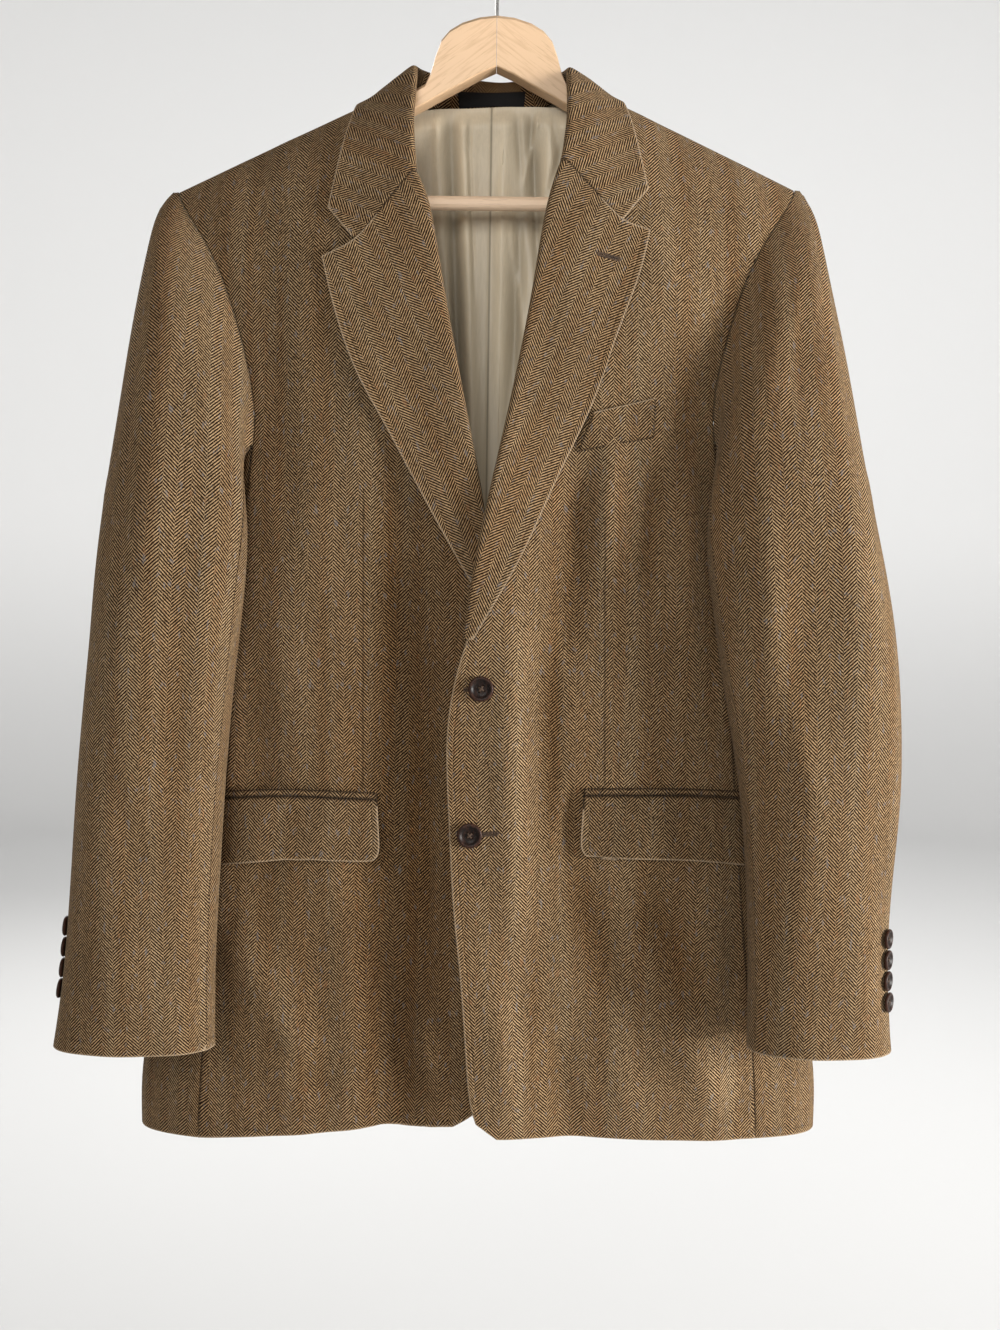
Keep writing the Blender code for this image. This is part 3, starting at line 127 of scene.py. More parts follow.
def surfaced(material, add, colour, height, strength, distance, gloss):
    """Gives a material its colour, its relief and the rest of its shader's sockets."""
    relief = add("Bump", {"Height": height, "Strength": strength, "Distance": distance}).outputs[0]
    shader = material.node_tree.nodes["Principled BSDF"]
    joined(material.node_tree, shader, {"Base Color": colour, "Normal": relief, **gloss})
    return material


def painted(name, wall, floor):
    """Matt paint, a little deeper on the floor, with a faint roller texture."""
    material, add = nodes_of(name)
    place = add("TexCoord").outputs["Object"]
    height = add("SeparateXYZ", {"Vector": place}).outputs["Z"]
    rise = ranged(add, height, ROOM_FLOOR, ROOM_FLOOR + COVE_RADIUS, interpolation_type="SMOOTHSTEP")
    return surfaced(material, add, blended(add, rise, floor, wall), clouds(add, place, ROLLER_GRAIN),
                    strength=0.05, distance=0.001, gloss={"Roughness": 0.9})


def object_of(name, bm, *materials):
    """An object made of a bmesh, standing at the origin."""
    mesh = bpy.data.meshes.new(name)
    bm.to_mesh(mesh)
    bm.free()
    for material in materials:
        mesh.materials.append(material)
    return placed(name, mesh)


def spun(profile, steps):
    """A bmesh made by turning a line of (out, up) points once round the upright axis."""
    made = bmesh.new()
    points = [made.verts.new((out, 0, up)) for out, up in profile]
    for low, high in zip(points, points[1:]):
        made.edges.new((low, high))
    bmesh.ops.spin(made, geom=made.verts[:] + made.edges[:], axis=(0, 0, 1), cent=(0, 0, 0),
                   angle=math.radians(360), steps=steps, use_merge=True)
    bmesh.ops.remove_doubles(made, verts=made.verts, dist=WELD)
    bmesh.ops.recalc_face_normals(made, faces=made.faces)
    return made


def rounded(faces, finish=0):
    """Shades faces as one smooth surface in one of their object's finishes."""
    for face in faces:
        face.smooth = True
        face.material_index = finish


wall_line = [(0, ROOM_FLOOR)]
for step in range(COVE_STEPS + 1):
    turn = math.radians(90) * step / COVE_STEPS
    wall_line.append((ROOM_RADIUS - COVE_RADIUS * (1 - math.sin(turn)),
                      ROOM_FLOOR + COVE_RADIUS * (1 - math.cos(turn))))
wall_line.append((ROOM_RADIUS, ROOM_FLOOR + ROOM_HEIGHT))
room = spun(wall_line, ROUND_STEPS)
bmesh.ops.reverse_faces(room, faces=room.faces)
rounded(room.faces)
object_of("room", room, painted("room paint", WALL_COLOUR, FLOOR_COLOUR))


def soft_lamp(name, at, towards, size, power, colour):
    """A square area lamp that shines from one point towards another."""
    lamp = bpy.data.lights.new(name, "AREA")
    lamp.size = size
    lamp.energy = power
    lamp.color = colour
    holder = placed(name, lamp)
    holder.location = at
    holder.rotation_euler = (Vector(towards) - Vector(at)).to_track_quat("-Z", "Y").to_euler()


soft_lamp("key lamp", (3.3, -1.25, -0.65), (0, 0, -0.55), 1.1, 214, (1.0, 0.985, 0.96))
soft_lamp("fill lamp", (-0.55, -2.9, 0.35), (0, 0, -0.40), 1.4, 43, (1.0, 0.985, 0.95))
soft_lamp("wall lamp", (0.5, 1.0, 2.0), (0.8, 7.0, -0.2), 2.4, 186, (1.0, 0.998, 0.99))
soft_lamp("back lamp", (-1.4, 2.6, 0.9), (0, 0, -0.5), 1.6, 40, (1.0, 0.99, 0.97))

daylight = bpy.data.worlds.new("daylight")
daylight.use_nodes = True
sky = daylight.node_tree.nodes["Background"]
sky.inputs["Color"].default_value = DAYLIGHT_COLOUR
sky.inputs["Strength"].default_value = DAYLIGHT
bpy.context.scene.world = daylight

# ----------------------------------------
# Hanger arms and bar. Two arms of pale beech, sawn to the slope of the shoulders,
# mitred and glued at the middle, with a round bar let into their ends; sanded and varnished.

WOOD = (0.63, 0.425, 0.255, 1)
WOOD_LATE = (0.44, 0.26, 0.135, 1)
WOOD_PORE = (0.30, 0.17, 0.085, 1)
RING_STRETCH = (5.0, 60.0, 90.0)
RING_COUNT = 46.0
LATE_BAND = (0.2, 1.0)
LATE_SHARE = 0.34
PORE_STRETCH = (70.0, 1500.0, 1500.0)
PORE_BAND = (0.60, 0.72)
PORE_SHARE = 0.40
BOARD_SCALE = 14.0
BOARD_TONE = 0.22
VARNISH_ROUGHNESS = (0.34, 0.50)
ARM_SLOPE = math.radians(-36)


def maths(add, operation, a, b=0.0, c=0.0):
    """One step of arithmetic in a material."""
    return add("Math", {0: a, 1: b, 2: c}, operation=operation).outputs[0]


def varied(add, value, amount, middle=1.0):
    """Turns uneven values round a half into uneven ones round middle."""
    return maths(add, "MULTIPLY_ADD", maths(add, "SUBTRACT", value, 0.5), amount, middle)


def toned(add, colour, **changes):
    """A colour with its Value, Saturation or Hue changed."""
    return add("HueSaturation", {"Color": colour, **changes}).outputs[0]


def stretched(add, place, scale):
    """A place drawn out unevenly, for grain that runs one way."""
    return add("Mapping", {"Vector": place, "Scale": scale}).outputs[0]


def varnished_wood(name, slope, painted_light=1.0, painted_light_saturation=1.0):
    """Pale straight-grained wood; the grain runs along the piece, down from the middle by slope. The last
    two arguments paint it lighter and greyer as painted light.
    """
    material, add = nodes_of(name)
    split = add("SeparateXYZ", {"Vector": add("TexCoord").outputs["Object"]})
    mirrored = add("CombineXYZ", {"X": maths(add, "ABSOLUTE", split.outputs["X"]), "Y": split.outputs["Y"],
                                  "Z": split.outputs["Z"]}).outputs[0]
    along = add("VectorRotate", {"Vector": mirrored, "Angle": slope}, rotation_type="Y_AXIS").outputs[0]
    band = clouds(add, stretched(add, along, RING_STRETCH), 1.0, 3.0, Distortion=0.6)
    rings = maths(add, "SINE", maths(add, "MULTIPLY", band, RING_COUNT))
    late = ranged(add, rings, *LATE_BAND, 0.0, LATE_SHARE)
    streak = clouds(add, stretched(add, along, PORE_STRETCH), 1.0)
    pore = ranged(add, streak, *PORE_BAND, 0.0, PORE_SHARE)
    colour = blended(add, pore, blended(add, late, WOOD, WOOD_LATE), WOOD_PORE)
    # Tone varies at random from board to board, round a level that can be raised as painted light.
    tone = varied(add, clouds(add, along, BOARD_SCALE), BOARD_TONE, painted_light)
    colour = toned(add, colour, Value=tone, Saturation=painted_light_saturation)
    relief = maths(add, "MULTIPLY_ADD", pore, -1.0, maths(add, "MULTIPLY", late, 0.4))
    return surfaced(material, add, colour, relief, strength=0.25, distance=0.0003, gloss={
        "Roughness": ranged(add, streak, 0.0, 1.0, *VARNISH_ROUGHNESS),
        "Coat Weight": 0.12, "Coat Roughness": 0.3})


def finished(node, material):
    """Gives a solid that keeps its own shape its finish."""
    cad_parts[node].data.materials.clear()
    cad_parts[node].data.materials.append(material)


arm_wood = varnished_wood("beech of the arms", ARM_SLOPE)
finished("hanger_arm_left", arm_wood)
finished("hanger_arm_right", arm_wood)
# The bar is painted lighter and greyer than the arms, as painted light falling on it from the front.
finished("hanger_bar", varnished_wood("beech of the bar with painted light", slope=0.0, painted_light=1.56, painted_light_saturation=0.80))

# ----------------------------------------
# Hook. One bend of drawn steel wire, 3 mm thick, driven into the top of the arms;
# bright, with faint dull patches from handling.

STEEL = (0.60, 0.59, 0.57, 1)
DULL_SCALE = 320.0
DULL_TONE = (0.2, 0.9)
STEEL_ROUGHNESS = (0.16, 0.40)


def drawn_steel(name):
    """Bright wire, duller and a little paler in patches."""
    material, add = nodes_of(name)
    dull = clouds(add, add("TexCoord").outputs["Object"], DULL_SCALE, 4.0)
    colour = toned(add, STEEL, Value=maths(add, "MULTIPLY_ADD", dull, *DULL_TONE))
    return surfaced(material, add, colour, dull, strength=0.1, distance=0.0002, gloss={
        "Roughness": ranged(add, dull, 0.0, 1.0, *STEEL_ROUGHNESS), "Metallic": 1.0})


finished("hanger_hook", drawn_steel("steel wire"))

# ----------------------------------------
# Backs. Two panels of 2 mm herringbone wool tweed, lined with satin, joined at the
# centre back; pressed, and hung from the arms, with soft folds below the shoulders.

EDGE_ANGLE = math.radians(50)
QUAD_ANGLE = math.radians(40)
QUAD_SHAPE = math.radians(60)
CLOSE_POINTS = 0.0012
SLIVER = 0.0006
LOOKS_ALONG = 0.3


def outer_face(node, facing=None, cuts=()):
    """One broad face of a cloth solid as an open sheet: the larger one, or the one that looks along facing.

    Points closer than its mesh needs are joined and slivers along its edge are cut off. Each cut is an x
    at which the sheet gets one more column of faces, for close folds.
    """
    sheet = bmesh.new()
    sheet.from_mesh(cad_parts[node].data)
    bmesh.ops.remove_doubles(sheet, verts=sheet.verts, dist=WELD)
    bmesh.ops.join_triangles(sheet, faces=sheet.faces, angle_face_threshold=QUAD_ANGLE,
                             angle_shape_threshold=QUAD_SHAPE)
    sheet.normal_update()
    faces_left = set(sheet.faces)
    broad = []
    while faces_left:
        waiting = [faces_left.pop()]
        found = []
        while waiting:
            face = waiting.pop()
            found.append(face)
            for edge in face.edges:
                if len(edge.link_faces) == 2 and edge.calc_face_angle(0) < EDGE_ANGLE:
                    for beside in edge.link_faces:
                        if beside in faces_left:
                            faces_left.discard(beside)
                            waiting.append(beside)
        broad.append((sum(face.calc_area() for face in found), found))
    broad.sort(key=lambda pair: -pair[0])
    chosen = broad[0][1]
    if facing is not None:
        def looks(pair):
            return sum((face.normal * face.calc_area()).dot(Vector(facing)) for face in pair[1])
        chosen = [face for face in max(broad[:2], key=looks)[1]
                  if face.normal.dot(Vector(facing)) > LOOKS_ALONG]
    keep = set(chosen)
    bmesh.ops.delete(sheet, geom=[face for face in sheet.faces if face not in keep], context="FACES")
    bmesh.ops.remove_doubles(sheet, verts=sheet.verts, dist=CLOSE_POINTS)
    slivers = [face for face in sheet.faces if any(edge.is_boundary for edge in face.edges)
               and 2 * face.calc_area() / max(edge.calc_length() for edge in face.edges) < SLIVER]
    bmesh.ops.delete(sheet, geom=slivers, context="FACES")
    for x in cuts:
        bmesh.ops.bisect_plane(sheet, geom=sheet.verts[:] + sheet.edges[:] + sheet.faces[:], dist=WELD,
                               plane_co=(x, 0, 0), plane_no=(1, 0, 0))
    rounded(sheet.faces)
    cornered(sheet)
    return sheet


TINY = 1e-12


def laid_flat(piece, grain, at=None, reach=None):
    """Gives a sheet a UV map in metres, as its cloth lay before sewing, with its columns along grain.

    Where at is given, the grain is that of the faces within reach of it.
    """
    bpy.ops.object.select_all(action="DESELECT")
    piece.select_set(True)
    bpy.context.view_layer.objects.active = piece
    bpy.ops.object.mode_set(mode="EDIT")
    bpy.ops.mesh.select_all(action="SELECT")
    bpy.ops.uv.unwrap(method="ANGLE_BASED", margin=0.0)
    bpy.ops.object.mode_set(mode="OBJECT")
    sheet = bmesh.new()
    sheet.from_mesh(piece.data)
    flat = sheet.loops.layers.uv.active
    along = Vector((0, 0))
    real = drawn = 0.0
    for face in sheet.faces:
        a, b, c = face.loops[:3]
        first, second = b[flat].uv - a[flat].uv, c[flat].uv - a[flat].uv
        cross = first.cross(second)
        if abs(cross) < TINY:
            continue
        edge_1, edge_2 = b.vert.co - a.vert.co, c.vert.co - a.vert.co
        along_u = (edge_1 * second.y - edge_2 * first.y) / cross
        along_v = (edge_2 * first.x - edge_1 * second.x) / cross
        real += edge_1.cross(edge_2).length
        drawn += abs(cross)
        if at is None or (face.calc_center_median() - Vector(at)).length < reach:
            pull = Vector((along_u.dot(Vector(grain)), along_v.dot(Vector(grain))))
            along += pull * (abs(cross) / max(along_u.length * along_v.length, TINY))
    along.normalize()
    size = math.sqrt(real / drawn)
    for face in sheet.faces:
        for loop in face.loops:
            u, v = loop[flat].uv
            loop[flat].uv = ((u * along.y - v * along.x) * size, (u * along.x + v * along.y) * size)
    sheet.to_mesh(piece.data)
    sheet.free()
    piece.data.uv_layers.active.name = "cloth"


def settled(piece):
    """Puts what a piece's modifiers make into its mesh."""
    bpy.context.view_layer.update()
    graph = bpy.context.evaluated_depsgraph_get()
    mesh = bpy.data.meshes.new_from_object(piece.evaluated_get(graph), preserve_all_data_layers=True,
                                           depsgraph=graph)
    piece.modifiers.clear()
    old = piece.data
    piece.data = mesh
    bpy.data.meshes.remove(old)
    mesh.name = piece.name


CORNER_TURN = math.radians(33)


def cornered(sheet):
    """Marks the points where a sheet's edge turns sharply, so that rounding keeps them."""
    crease = sheet.verts.layers.float.get("crease_vert") or sheet.verts.layers.float.new("crease_vert")
    for vert in sheet.verts:
        rims = [edge for edge in vert.link_edges if edge.is_boundary]
        if len(rims) == 2:
            first, second = (edge.other_vert(vert).co - vert.co for edge in rims)
            if math.pi - first.angle(second) > CORNER_TURN:
                vert[crease] = 1.0


def refined(piece, levels):
    """Rounds a coarse sheet and keeps its corners."""
    rounding = piece.modifiers.new("rounding", "SUBSURF")
    rounding.levels = rounding.render_levels = levels
    rounding.boundary_smooth = "PRESERVE_CORNERS"
    settled(piece)


def points_of(mesh, kind="co"):
    """The points of a mesh, or their normals, as rows of x, y and z."""
    values = np.zeros(len(mesh.vertices) * 3, np.float32)
    mesh.vertices.foreach_get(kind, values)
    return values.reshape(-1, 3).astype(float)


def moved_out(piece, rise):
    """Moves each point of a sheet along its normal by its rise, in metres."""
    points = points_of(piece.data) + points_of(piece.data, "normal") * rise[:, None]
    piece.data.vertices.foreach_set("co", points.astype(np.float32).ravel())
    piece.data.update()


def eased(share):
    """A share from 0 to 1 with a soft start and end."""
    share = np.clip(share, 0, 1)
    return share * share * (3 - 2 * share)


def creases(table, x, z):
    """How high the folds of a table stand at x, z; its rows are (x, z, x, z, half width, height), in mm.

    Each row is a soft ridge or, with a height below 0, a trough, from one x, z to the other.
    """
    rise = np.zeros_like(x)
    for row in table:
        x0, z0, x1, z1, width, high = np.array(row) / 1000.0
        run = np.array((x1 - x0, z1 - z0))
        length = np.hypot(*run)
        run = run / length
        along = ((x - x0) * run[0] + (z - z0) * run[1]) / length
        aside = ((x - x0) * run[1] - (z - z0) * run[0]) / width
        rise += high * np.exp(-aside ** 2) * eased(along * (1 - along) * 4)
    return rise


WAVES = 5
LEAST_WAVE = (50, -22, 0, 0.4)
MOST_WAVE = (150, 22, 2 * math.pi, 1.0)
SWAY = 0.8
SWAY_TURNS = 9.0


def ripples(seed, high, x, z):
    """How high small uneven waves stand at x, z, the same in every run.

    They are 40 to 120 mm long and run mostly down the cloth.
    """
    chance = np.random.default_rng(seed)
    rise = np.zeros_like(x)
    for over, down, phase, share in chance.uniform(LEAST_WAVE, MOST_WAVE, (WAVES, len(MOST_WAVE))):
        sway = SWAY * np.sin(SWAY_TURNS * z + phase)
        rise += high * share * np.sin(over * x + down * z + phase + sway)
    return rise


EDGE_ROUND = 0.0006


def thickened(piece, thick):
    """Gives a sheet its thickness inwards, its lining inside and a rounded edge."""
    wall = piece.modifiers.new("thickness", "SOLIDIFY")
    wall.thickness = thick
    wall.offset = -1
    wall.use_even_offset = False
    wall.material_offset = 1
    wall.material_offset_rim = 0
    edge = piece.modifiers.new("rounded edge", "BEVEL")
    edge.width = EDGE_ROUND
    edge.segments = 2
    edge.limit_method = "ANGLE"
    edge.angle_limit = math.radians(60)


COLUMN_WIDTH = 0.0099
TWILL_PITCH = 0.0027
TWILL_SLOPE = 1.0
DRIFT_SCALE = 45.0
YARN_DRIFT = 0.0013
YARN_SCALE = 620.0
YARN_CHANGE = 3.0
SLUB_SCALE = 230.0
SLUB_CHANGE = 1.2
LIGHT_FROM = (-0.46, 1.30)
FLECK_STRETCH = (1.0, 0.35, 1.0)
FLECK_BAND = 0.08
FLECK_SHARE = 0.4
WARP_STRETCH = (75.0, 2.4, 1.0)
WARP_TONE = 0.42
WARP_HUE = 0.022
WARP_RICHNESS = (-0.35, 1.04)
CLOUD_SCALE = 22.0
CLOUD_TONE = 0.5
NAP_SCALE = 1500.0
NAP_RELIEF = 0.8
WEAVE_RELIEF = 0.45
EDGE_HIGHLIGHT_BAND = (0.0004, 0.0016)
EDGE_HIGHLIGHT_SHARE = 0.42
EDGE_STITCH = 0.0055
STITCH_BAND = (0.0002, 0.0012)
STITCH_DENT = -1.3
SEAM_CORE = 0.0002
SEAM_DENT = -2.0
DART_HALF_WIDTH = 0.0013
DART_SHADE = 0.34
LINE_CORE = 0.2
LIGHT_YARN = (0.402, 0.270, 0.150, 1)
DARK_YARN = (0.011, 0.0046, 0.0014, 1)
SEAM_PAINTED_SHADE = (0.012, 0.006, 0.003, 1)
GREY_YARN = (0.16, 0.155, 0.16, 1)
RUST_YARN = (0.20, 0.100, 0.050, 1)
FLECKS = ((310.0, GREY_YARN, 0.64), (270.0, RUST_YARN, 0.66))
EDGE_PAINTED_HIGHLIGHT = (0.50, 0.38, 0.26, 1)
# How the folds' painted shade and light run from trough to ridge: fold heights, then tone, saturation and
# hue.
TROUGH_TO_RIDGE = (-0.012, 0.006)
TROUGH_TO_LEVEL = (-0.010, 0.002)
FOLD_PAINTED_SHADE = (0.62, 1.10)
FOLD_PAINTED_SHADE_RICHNESS = (1.13, 0.99)
FOLD_PAINTED_SHADE_HUE = (0.493, 0.5)


def sewn_line(add, x0, z0, x1, z1, half):
    """Where a sewn line runs, from x, z to x, z in metres and half wide to each side."""
    spot = add("SeparateXYZ", {"Vector": add("TexCoord").outputs["Object"]})
    middle = ranged(add, spot.outputs["Z"], z0, z1, x0, x1)
    gap = maths(add, "ABSOLUTE", maths(add, "SUBTRACT", spot.outputs["X"], middle))
    above = maths(add, "SUBTRACT", spot.outputs["Z"], z0)
    below = maths(add, "SUBTRACT", z1, spot.outputs["Z"])
    past = maths(add, "MAXIMUM", maths(add, "MAXIMUM", above, below), 0.0)
    return ranged(add, maths(add, "ADD", gap, past), half * LINE_CORE, half, 1.0, 0.0)


def herringbone(add, cloth):
    """The twill lines of the weave, -1 to 1, turning back at each column."""
    wander = add("TexNoise", {"Vector": cloth, "Scale": DRIFT_SCALE, "Detail": 2.0}).outputs["Color"]
    drift = add("VectorMath", {0: wander, 1: (-0.5, -0.5, -0.5)}, operation="ADD").outputs[0]
    drift = add("VectorMath", {0: drift, "Scale": YARN_DRIFT}, operation="SCALE").outputs[0]
    place = add("VectorMath", {0: cloth, 1: drift}, operation="ADD").outputs[0]
    split = add("SeparateXYZ", {"Vector": place})
    share = maths(add, "FRACT", maths(add, "DIVIDE", split.outputs["X"], 2 * COLUMN_WIDTH))
    turned = maths(add, "ABSOLUTE", maths(add, "SUBTRACT", share, 0.5))
    rise = maths(add, "MULTIPLY", turned, 2 * COLUMN_WIDTH * TWILL_SLOPE)
    line = maths(add, "DIVIDE", maths(add, "ADD", split.outputs["Y"], rise), TWILL_PITCH)
    line = maths(add, "MULTIPLY_ADD", maths(add, "GREATER_THAN", share, 0.5), 0.5, line)
    return maths(add, "SINE", maths(add, "MULTIPLY", line, 2 * math.pi))


def tweed_cloth(name, darts=(), seam_shade=0.50, seam_wide=0.0016, depth=0.0):
    """Herringbone: broken columns of twill lines along the cloth, woven of a light and a dark yarn.

    Its free edges are machined, with a painted pale highlight along them; its seams pressed in, with painted
    shade along them. A dart is a sewn line.
    Its last argument paints the whole piece darker as painted shade, or below 0 lighter as painted light.
    """
    material, add = nodes_of(name)
    cloth = add("UVMap", uv_map="cloth").outputs["UV"]
    wave = herringbone(add, cloth)
    mixed = varied(add, clouds(add, cloth, YARN_SCALE, 3.0, Roughness=0.7), YARN_CHANGE, wave)
    mixed = varied(add, clouds(add, cloth, SLUB_SCALE, 2.0, Roughness=0.6), SLUB_CHANGE, mixed)
    light_share = ranged(add, mixed, *LIGHT_FROM, interpolation_type="SMOOTHSTEP")
    base = blended(add, light_share, DARK_YARN, LIGHT_YARN)
    for scale, yarn, low in FLECKS:
        place = add("Mapping", {"Vector": cloth, "Location": (scale, 0.0, 0.0), "Scale": FLECK_STRETCH})
        fleck = clouds(add, place.outputs[0], scale, 1.0)
        showing = ranged(add, fleck, low, low + FLECK_BAND, 0.0, FLECK_SHARE)
        base = blended(add, showing, base, yarn)
    warp = clouds(add, stretched(add, cloth, WARP_STRETCH), 1.0, 3.0)
    # Painted shade or light over the whole piece, set by its last argument.
    tone = varied(add, warp, WARP_TONE, 1.0 - depth)
    tone = varied(add, clouds(add, cloth, CLOUD_SCALE, 5.0, Roughness=0.6), CLOUD_TONE, tone)
    base = toned(add, base, Value=tone, Hue=varied(add, warp, WARP_HUE, 0.5),
                 Saturation=varied(add, warp, *WARP_RICHNESS))
    # Painted shade and light from the folds: the cloth is painted darker, richer and redder in their troughs
    # and lighter on their ridges.
    fold = add("Attribute", attribute_name="fold").outputs["Fac"]
    base = toned(add, base, Value=ranged(add, fold, *TROUGH_TO_RIDGE, *FOLD_PAINTED_SHADE),
                 Saturation=ranged(add, fold, *TROUGH_TO_LEVEL, *FOLD_PAINTED_SHADE_RICHNESS),
                 Hue=ranged(add, fold, *TROUGH_TO_LEVEL, *FOLD_PAINTED_SHADE_HUE))
    # Painted highlight: a pale line along the free edges, where their rounding catches the light.
    rim = add("Attribute", attribute_name="edge").outputs["Fac"]
    final = blended(add, ranged(add, rim, *EDGE_HIGHLIGHT_BAND, EDGE_HIGHLIGHT_SHARE, 0.0), base, EDGE_PAINTED_HIGHLIGHT)
    # Painted shade: the seams are painted dark along their length as well as pressed in.
    seam = add("Attribute", attribute_name="seam").outputs["Fac"]
    sunk_and_shaded = ranged(add, seam, SEAM_CORE, seam_wide, seam_shade, 0.0)
    final = blended(add, sunk_and_shaded, final, SEAM_PAINTED_SHADE)
    nap = clouds(add, cloth, NAP_SCALE, 3.0)
    relief = maths(add, "MULTIPLY_ADD", nap, NAP_RELIEF, maths(add, "MULTIPLY", wave, WEAVE_RELIEF))
    from_stitch = maths(add, "ABSOLUTE", maths(add, "SUBTRACT", rim, EDGE_STITCH))
    relief = maths(add, "ADD", relief, ranged(add, from_stitch, *STITCH_BAND, STITCH_DENT, 0.0))
    relief = maths(add, "MULTIPLY_ADD", sunk_and_shaded, SEAM_DENT, relief)
    # Each dart gets the same painted shade and dent along its line.
    for dart in darts:
        sewn = sewn_line(add, *dart, DART_HALF_WIDTH)
        final = blended(add, maths(add, "MULTIPLY", sewn, DART_SHADE), final, SEAM_PAINTED_SHADE)
        relief = maths(add, "MULTIPLY_ADD", sewn, SEAM_DENT, relief)
    return surfaced(material, add, final, relief, strength=0.6, distance=0.0005, gloss={
        "Roughness": 0.95, "Specular IOR Level": 0.09,
        "Sheen Weight": 0.06, "Sheen Roughness": 0.5, "Sheen Tint": (0.95, 0.80, 0.62, 1)})


tweed = tweed_cloth("tweed")

SATIN = (0.715, 0.612, 0.450, 1)
SATIN_PLEAT_SHADOW = (0.10, 0.085, 0.06, 1)
SATIN_FOLD_PAINTED_SHADE = (0.40, 1.10)
SATIN_FOLD_REACH = (-0.009, 0.005)
SLUB_STRETCH = (900.0, 900.0, 25.0)
SLUB_TONE = 0.20
SLUB_RELIEF = 0.05
WASH_SCALE = 9.0
WASH_TONE = 0.16
CRUMPLE_STRETCH = (70.0, 70.0, 14.0)
PLEAT_SHADOW_SHARE = 0.55


def satin_cloth(name, colour, lines=()):
    """Smooth lining cloth with a silky sheen and faint slubs, painted darker in its fold troughs and lighter
    on the ridges as shade and light; a line is a pressed fold with a painted shadow along it.
    """
    material, add = nodes_of(name)
    place = add("TexCoord").outputs["Object"]
    slub = clouds(add, stretched(add, place, SLUB_STRETCH), 1.0)
    tone = varied(add, clouds(add, place, WASH_SCALE, 3.0), WASH_TONE, varied(add, slub, SLUB_TONE))
    # Painted shade: the satin is painted darker in the troughs of its folds and a little lighter on their
    # ridges.
    fold = add("Attribute", attribute_name="fold").outputs["Fac"]
    tone = maths(add, "MULTIPLY", tone, ranged(add, fold, *SATIN_FOLD_REACH, *SATIN_FOLD_PAINTED_SHADE))
    final = toned(add, colour, Value=tone)
    # Painted shadow: a dark line is painted along each pressed fold.
    for line in lines:
        pressed = maths(add, "MULTIPLY", sewn_line(add, *line), PLEAT_SHADOW_SHARE)
        final = blended(add, pressed, final, SATIN_PLEAT_SHADOW)
    crumple = clouds(add, stretched(add, place, CRUMPLE_STRETCH), 1.0, Distortion=0.5)
    relief = maths(add, "MULTIPLY_ADD", slub, SLUB_RELIEF, crumple)
    return surfaced(material, add, final, relief, strength=0.30, distance=0.004, gloss={
        "Roughness": 0.45, "Specular IOR Level": 0.45, "Sheen Weight": 0.3, "Sheen Roughness": 0.35})


satin = satin_cloth("lining satin", SATIN)

FAR = 1.0


def noted(mesh, name, values):
    """Keeps a value for each point of a mesh as one of its attributes."""
    mesh.attributes.new(name, "FLOAT", "POINT").data.foreach_set("value", values.astype(np.float32))


def edge_distances(piece, free):
    """Writes each point's distance from the free edges as the attribute edge, from the sewn ones as seam."""
    mesh = piece.data
    sheet = bmesh.new()
    sheet.from_mesh(mesh)
    rims = [vert.co.copy() for vert in sheet.verts if vert.is_boundary]
    sheet.free()
    found = []
    for name, is_free in (("edge", True), ("seam", False)):
        chosen = [co for co in rims if free(*co) == is_free]
        distance = np.full(len(mesh.vertices), FAR)
        if chosen:
            tree = KDTree(len(chosen))
            for index, co in enumerate(chosen):
                tree.insert(co, index)
            tree.balance()
            for vert in mesh.vertices:
                distance[vert.index] = tree.find(vert.co)[2]
        noted(mesh, name, distance)
        found.append(distance)
    return found


def nowhere(x, y, z):
    """No part of the edge is free."""
    return False


UP = (0, 0, 1)
TWEED_THICK = 0.002
SEAM_REACH = 0.016
STAND_OFF = 0.0002


def cloth_piece(node, grain=UP, facing=None, levels=2, thick=TWEED_THICK,
                folds=(), seed=1, rippled=0.0003, free=nowhere, lift=None, material=tweed, inside=satin,
                at=None, reach=None, cuts=()):
    """A cut piece of cloth on its solid's form: laid flat for its weave, rounded, creased and made thick.

    free(x, y, z) tells its machined edges from its seams, where its folds die out. lift(x, z, edge, seam) is
    any further height.
    """
    piece = object_of(node + "_cloth", outer_face(node, facing, cuts), material, inside)
    laid_flat(piece, grain, at, reach)
    refined(piece, levels)
    edge, seam = edge_distances(piece, free)
    x, _, z = points_of(piece.data).T
    fold = (ripples(seed, rippled, x, z) + creases(folds, x, z)) * eased(seam / SEAM_REACH)
    # The fold height is kept for the materials, which paint shade in its troughs and light on its ridges.
    noted(piece.data, "fold", fold)
    rise = fold + STAND_OFF
    if lift:
        rise = rise + lift(x, z, edge, seam)
    moved_out(piece, rise)
    thickened(piece, thick)
    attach(piece, "root")
    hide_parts(node)
    return piece


BACK_FOLDS = (
    (-150, -250, -95, -470, 20, 2.2), (-205, -330, -160, -560, 17, -2.4), (-60, -520, -48, -940, 26, 3.0),
    (-118, -600, -132, -900, 21, -2.6), (-185, -640, -200, -960, 24, 2.4),
    (-96, -330, -30, -420, 15, -1.6), (-36, -180, -90, -230, 13, 1.4), (132, -240, 88, -440, 18, 2.0),
    (190, -360, 150, -520, 16, -2.2), (52, -560, 66, -930, 24, -2.8), (110, -520, 104, -880, 20, 2.4),
    (176, -660, 186, -960, 22, -2.2), (80, -300, 24, -390, 14, 1.6), (30, -190, 84, -246, 12, -1.3),
    (214, -480, 206, -700, 15, 1.8))
BACK_HEM = -0.9842


def back_hem(x, y, z):
    """The turned-up edge at the bottom."""
    return z < BACK_HEM


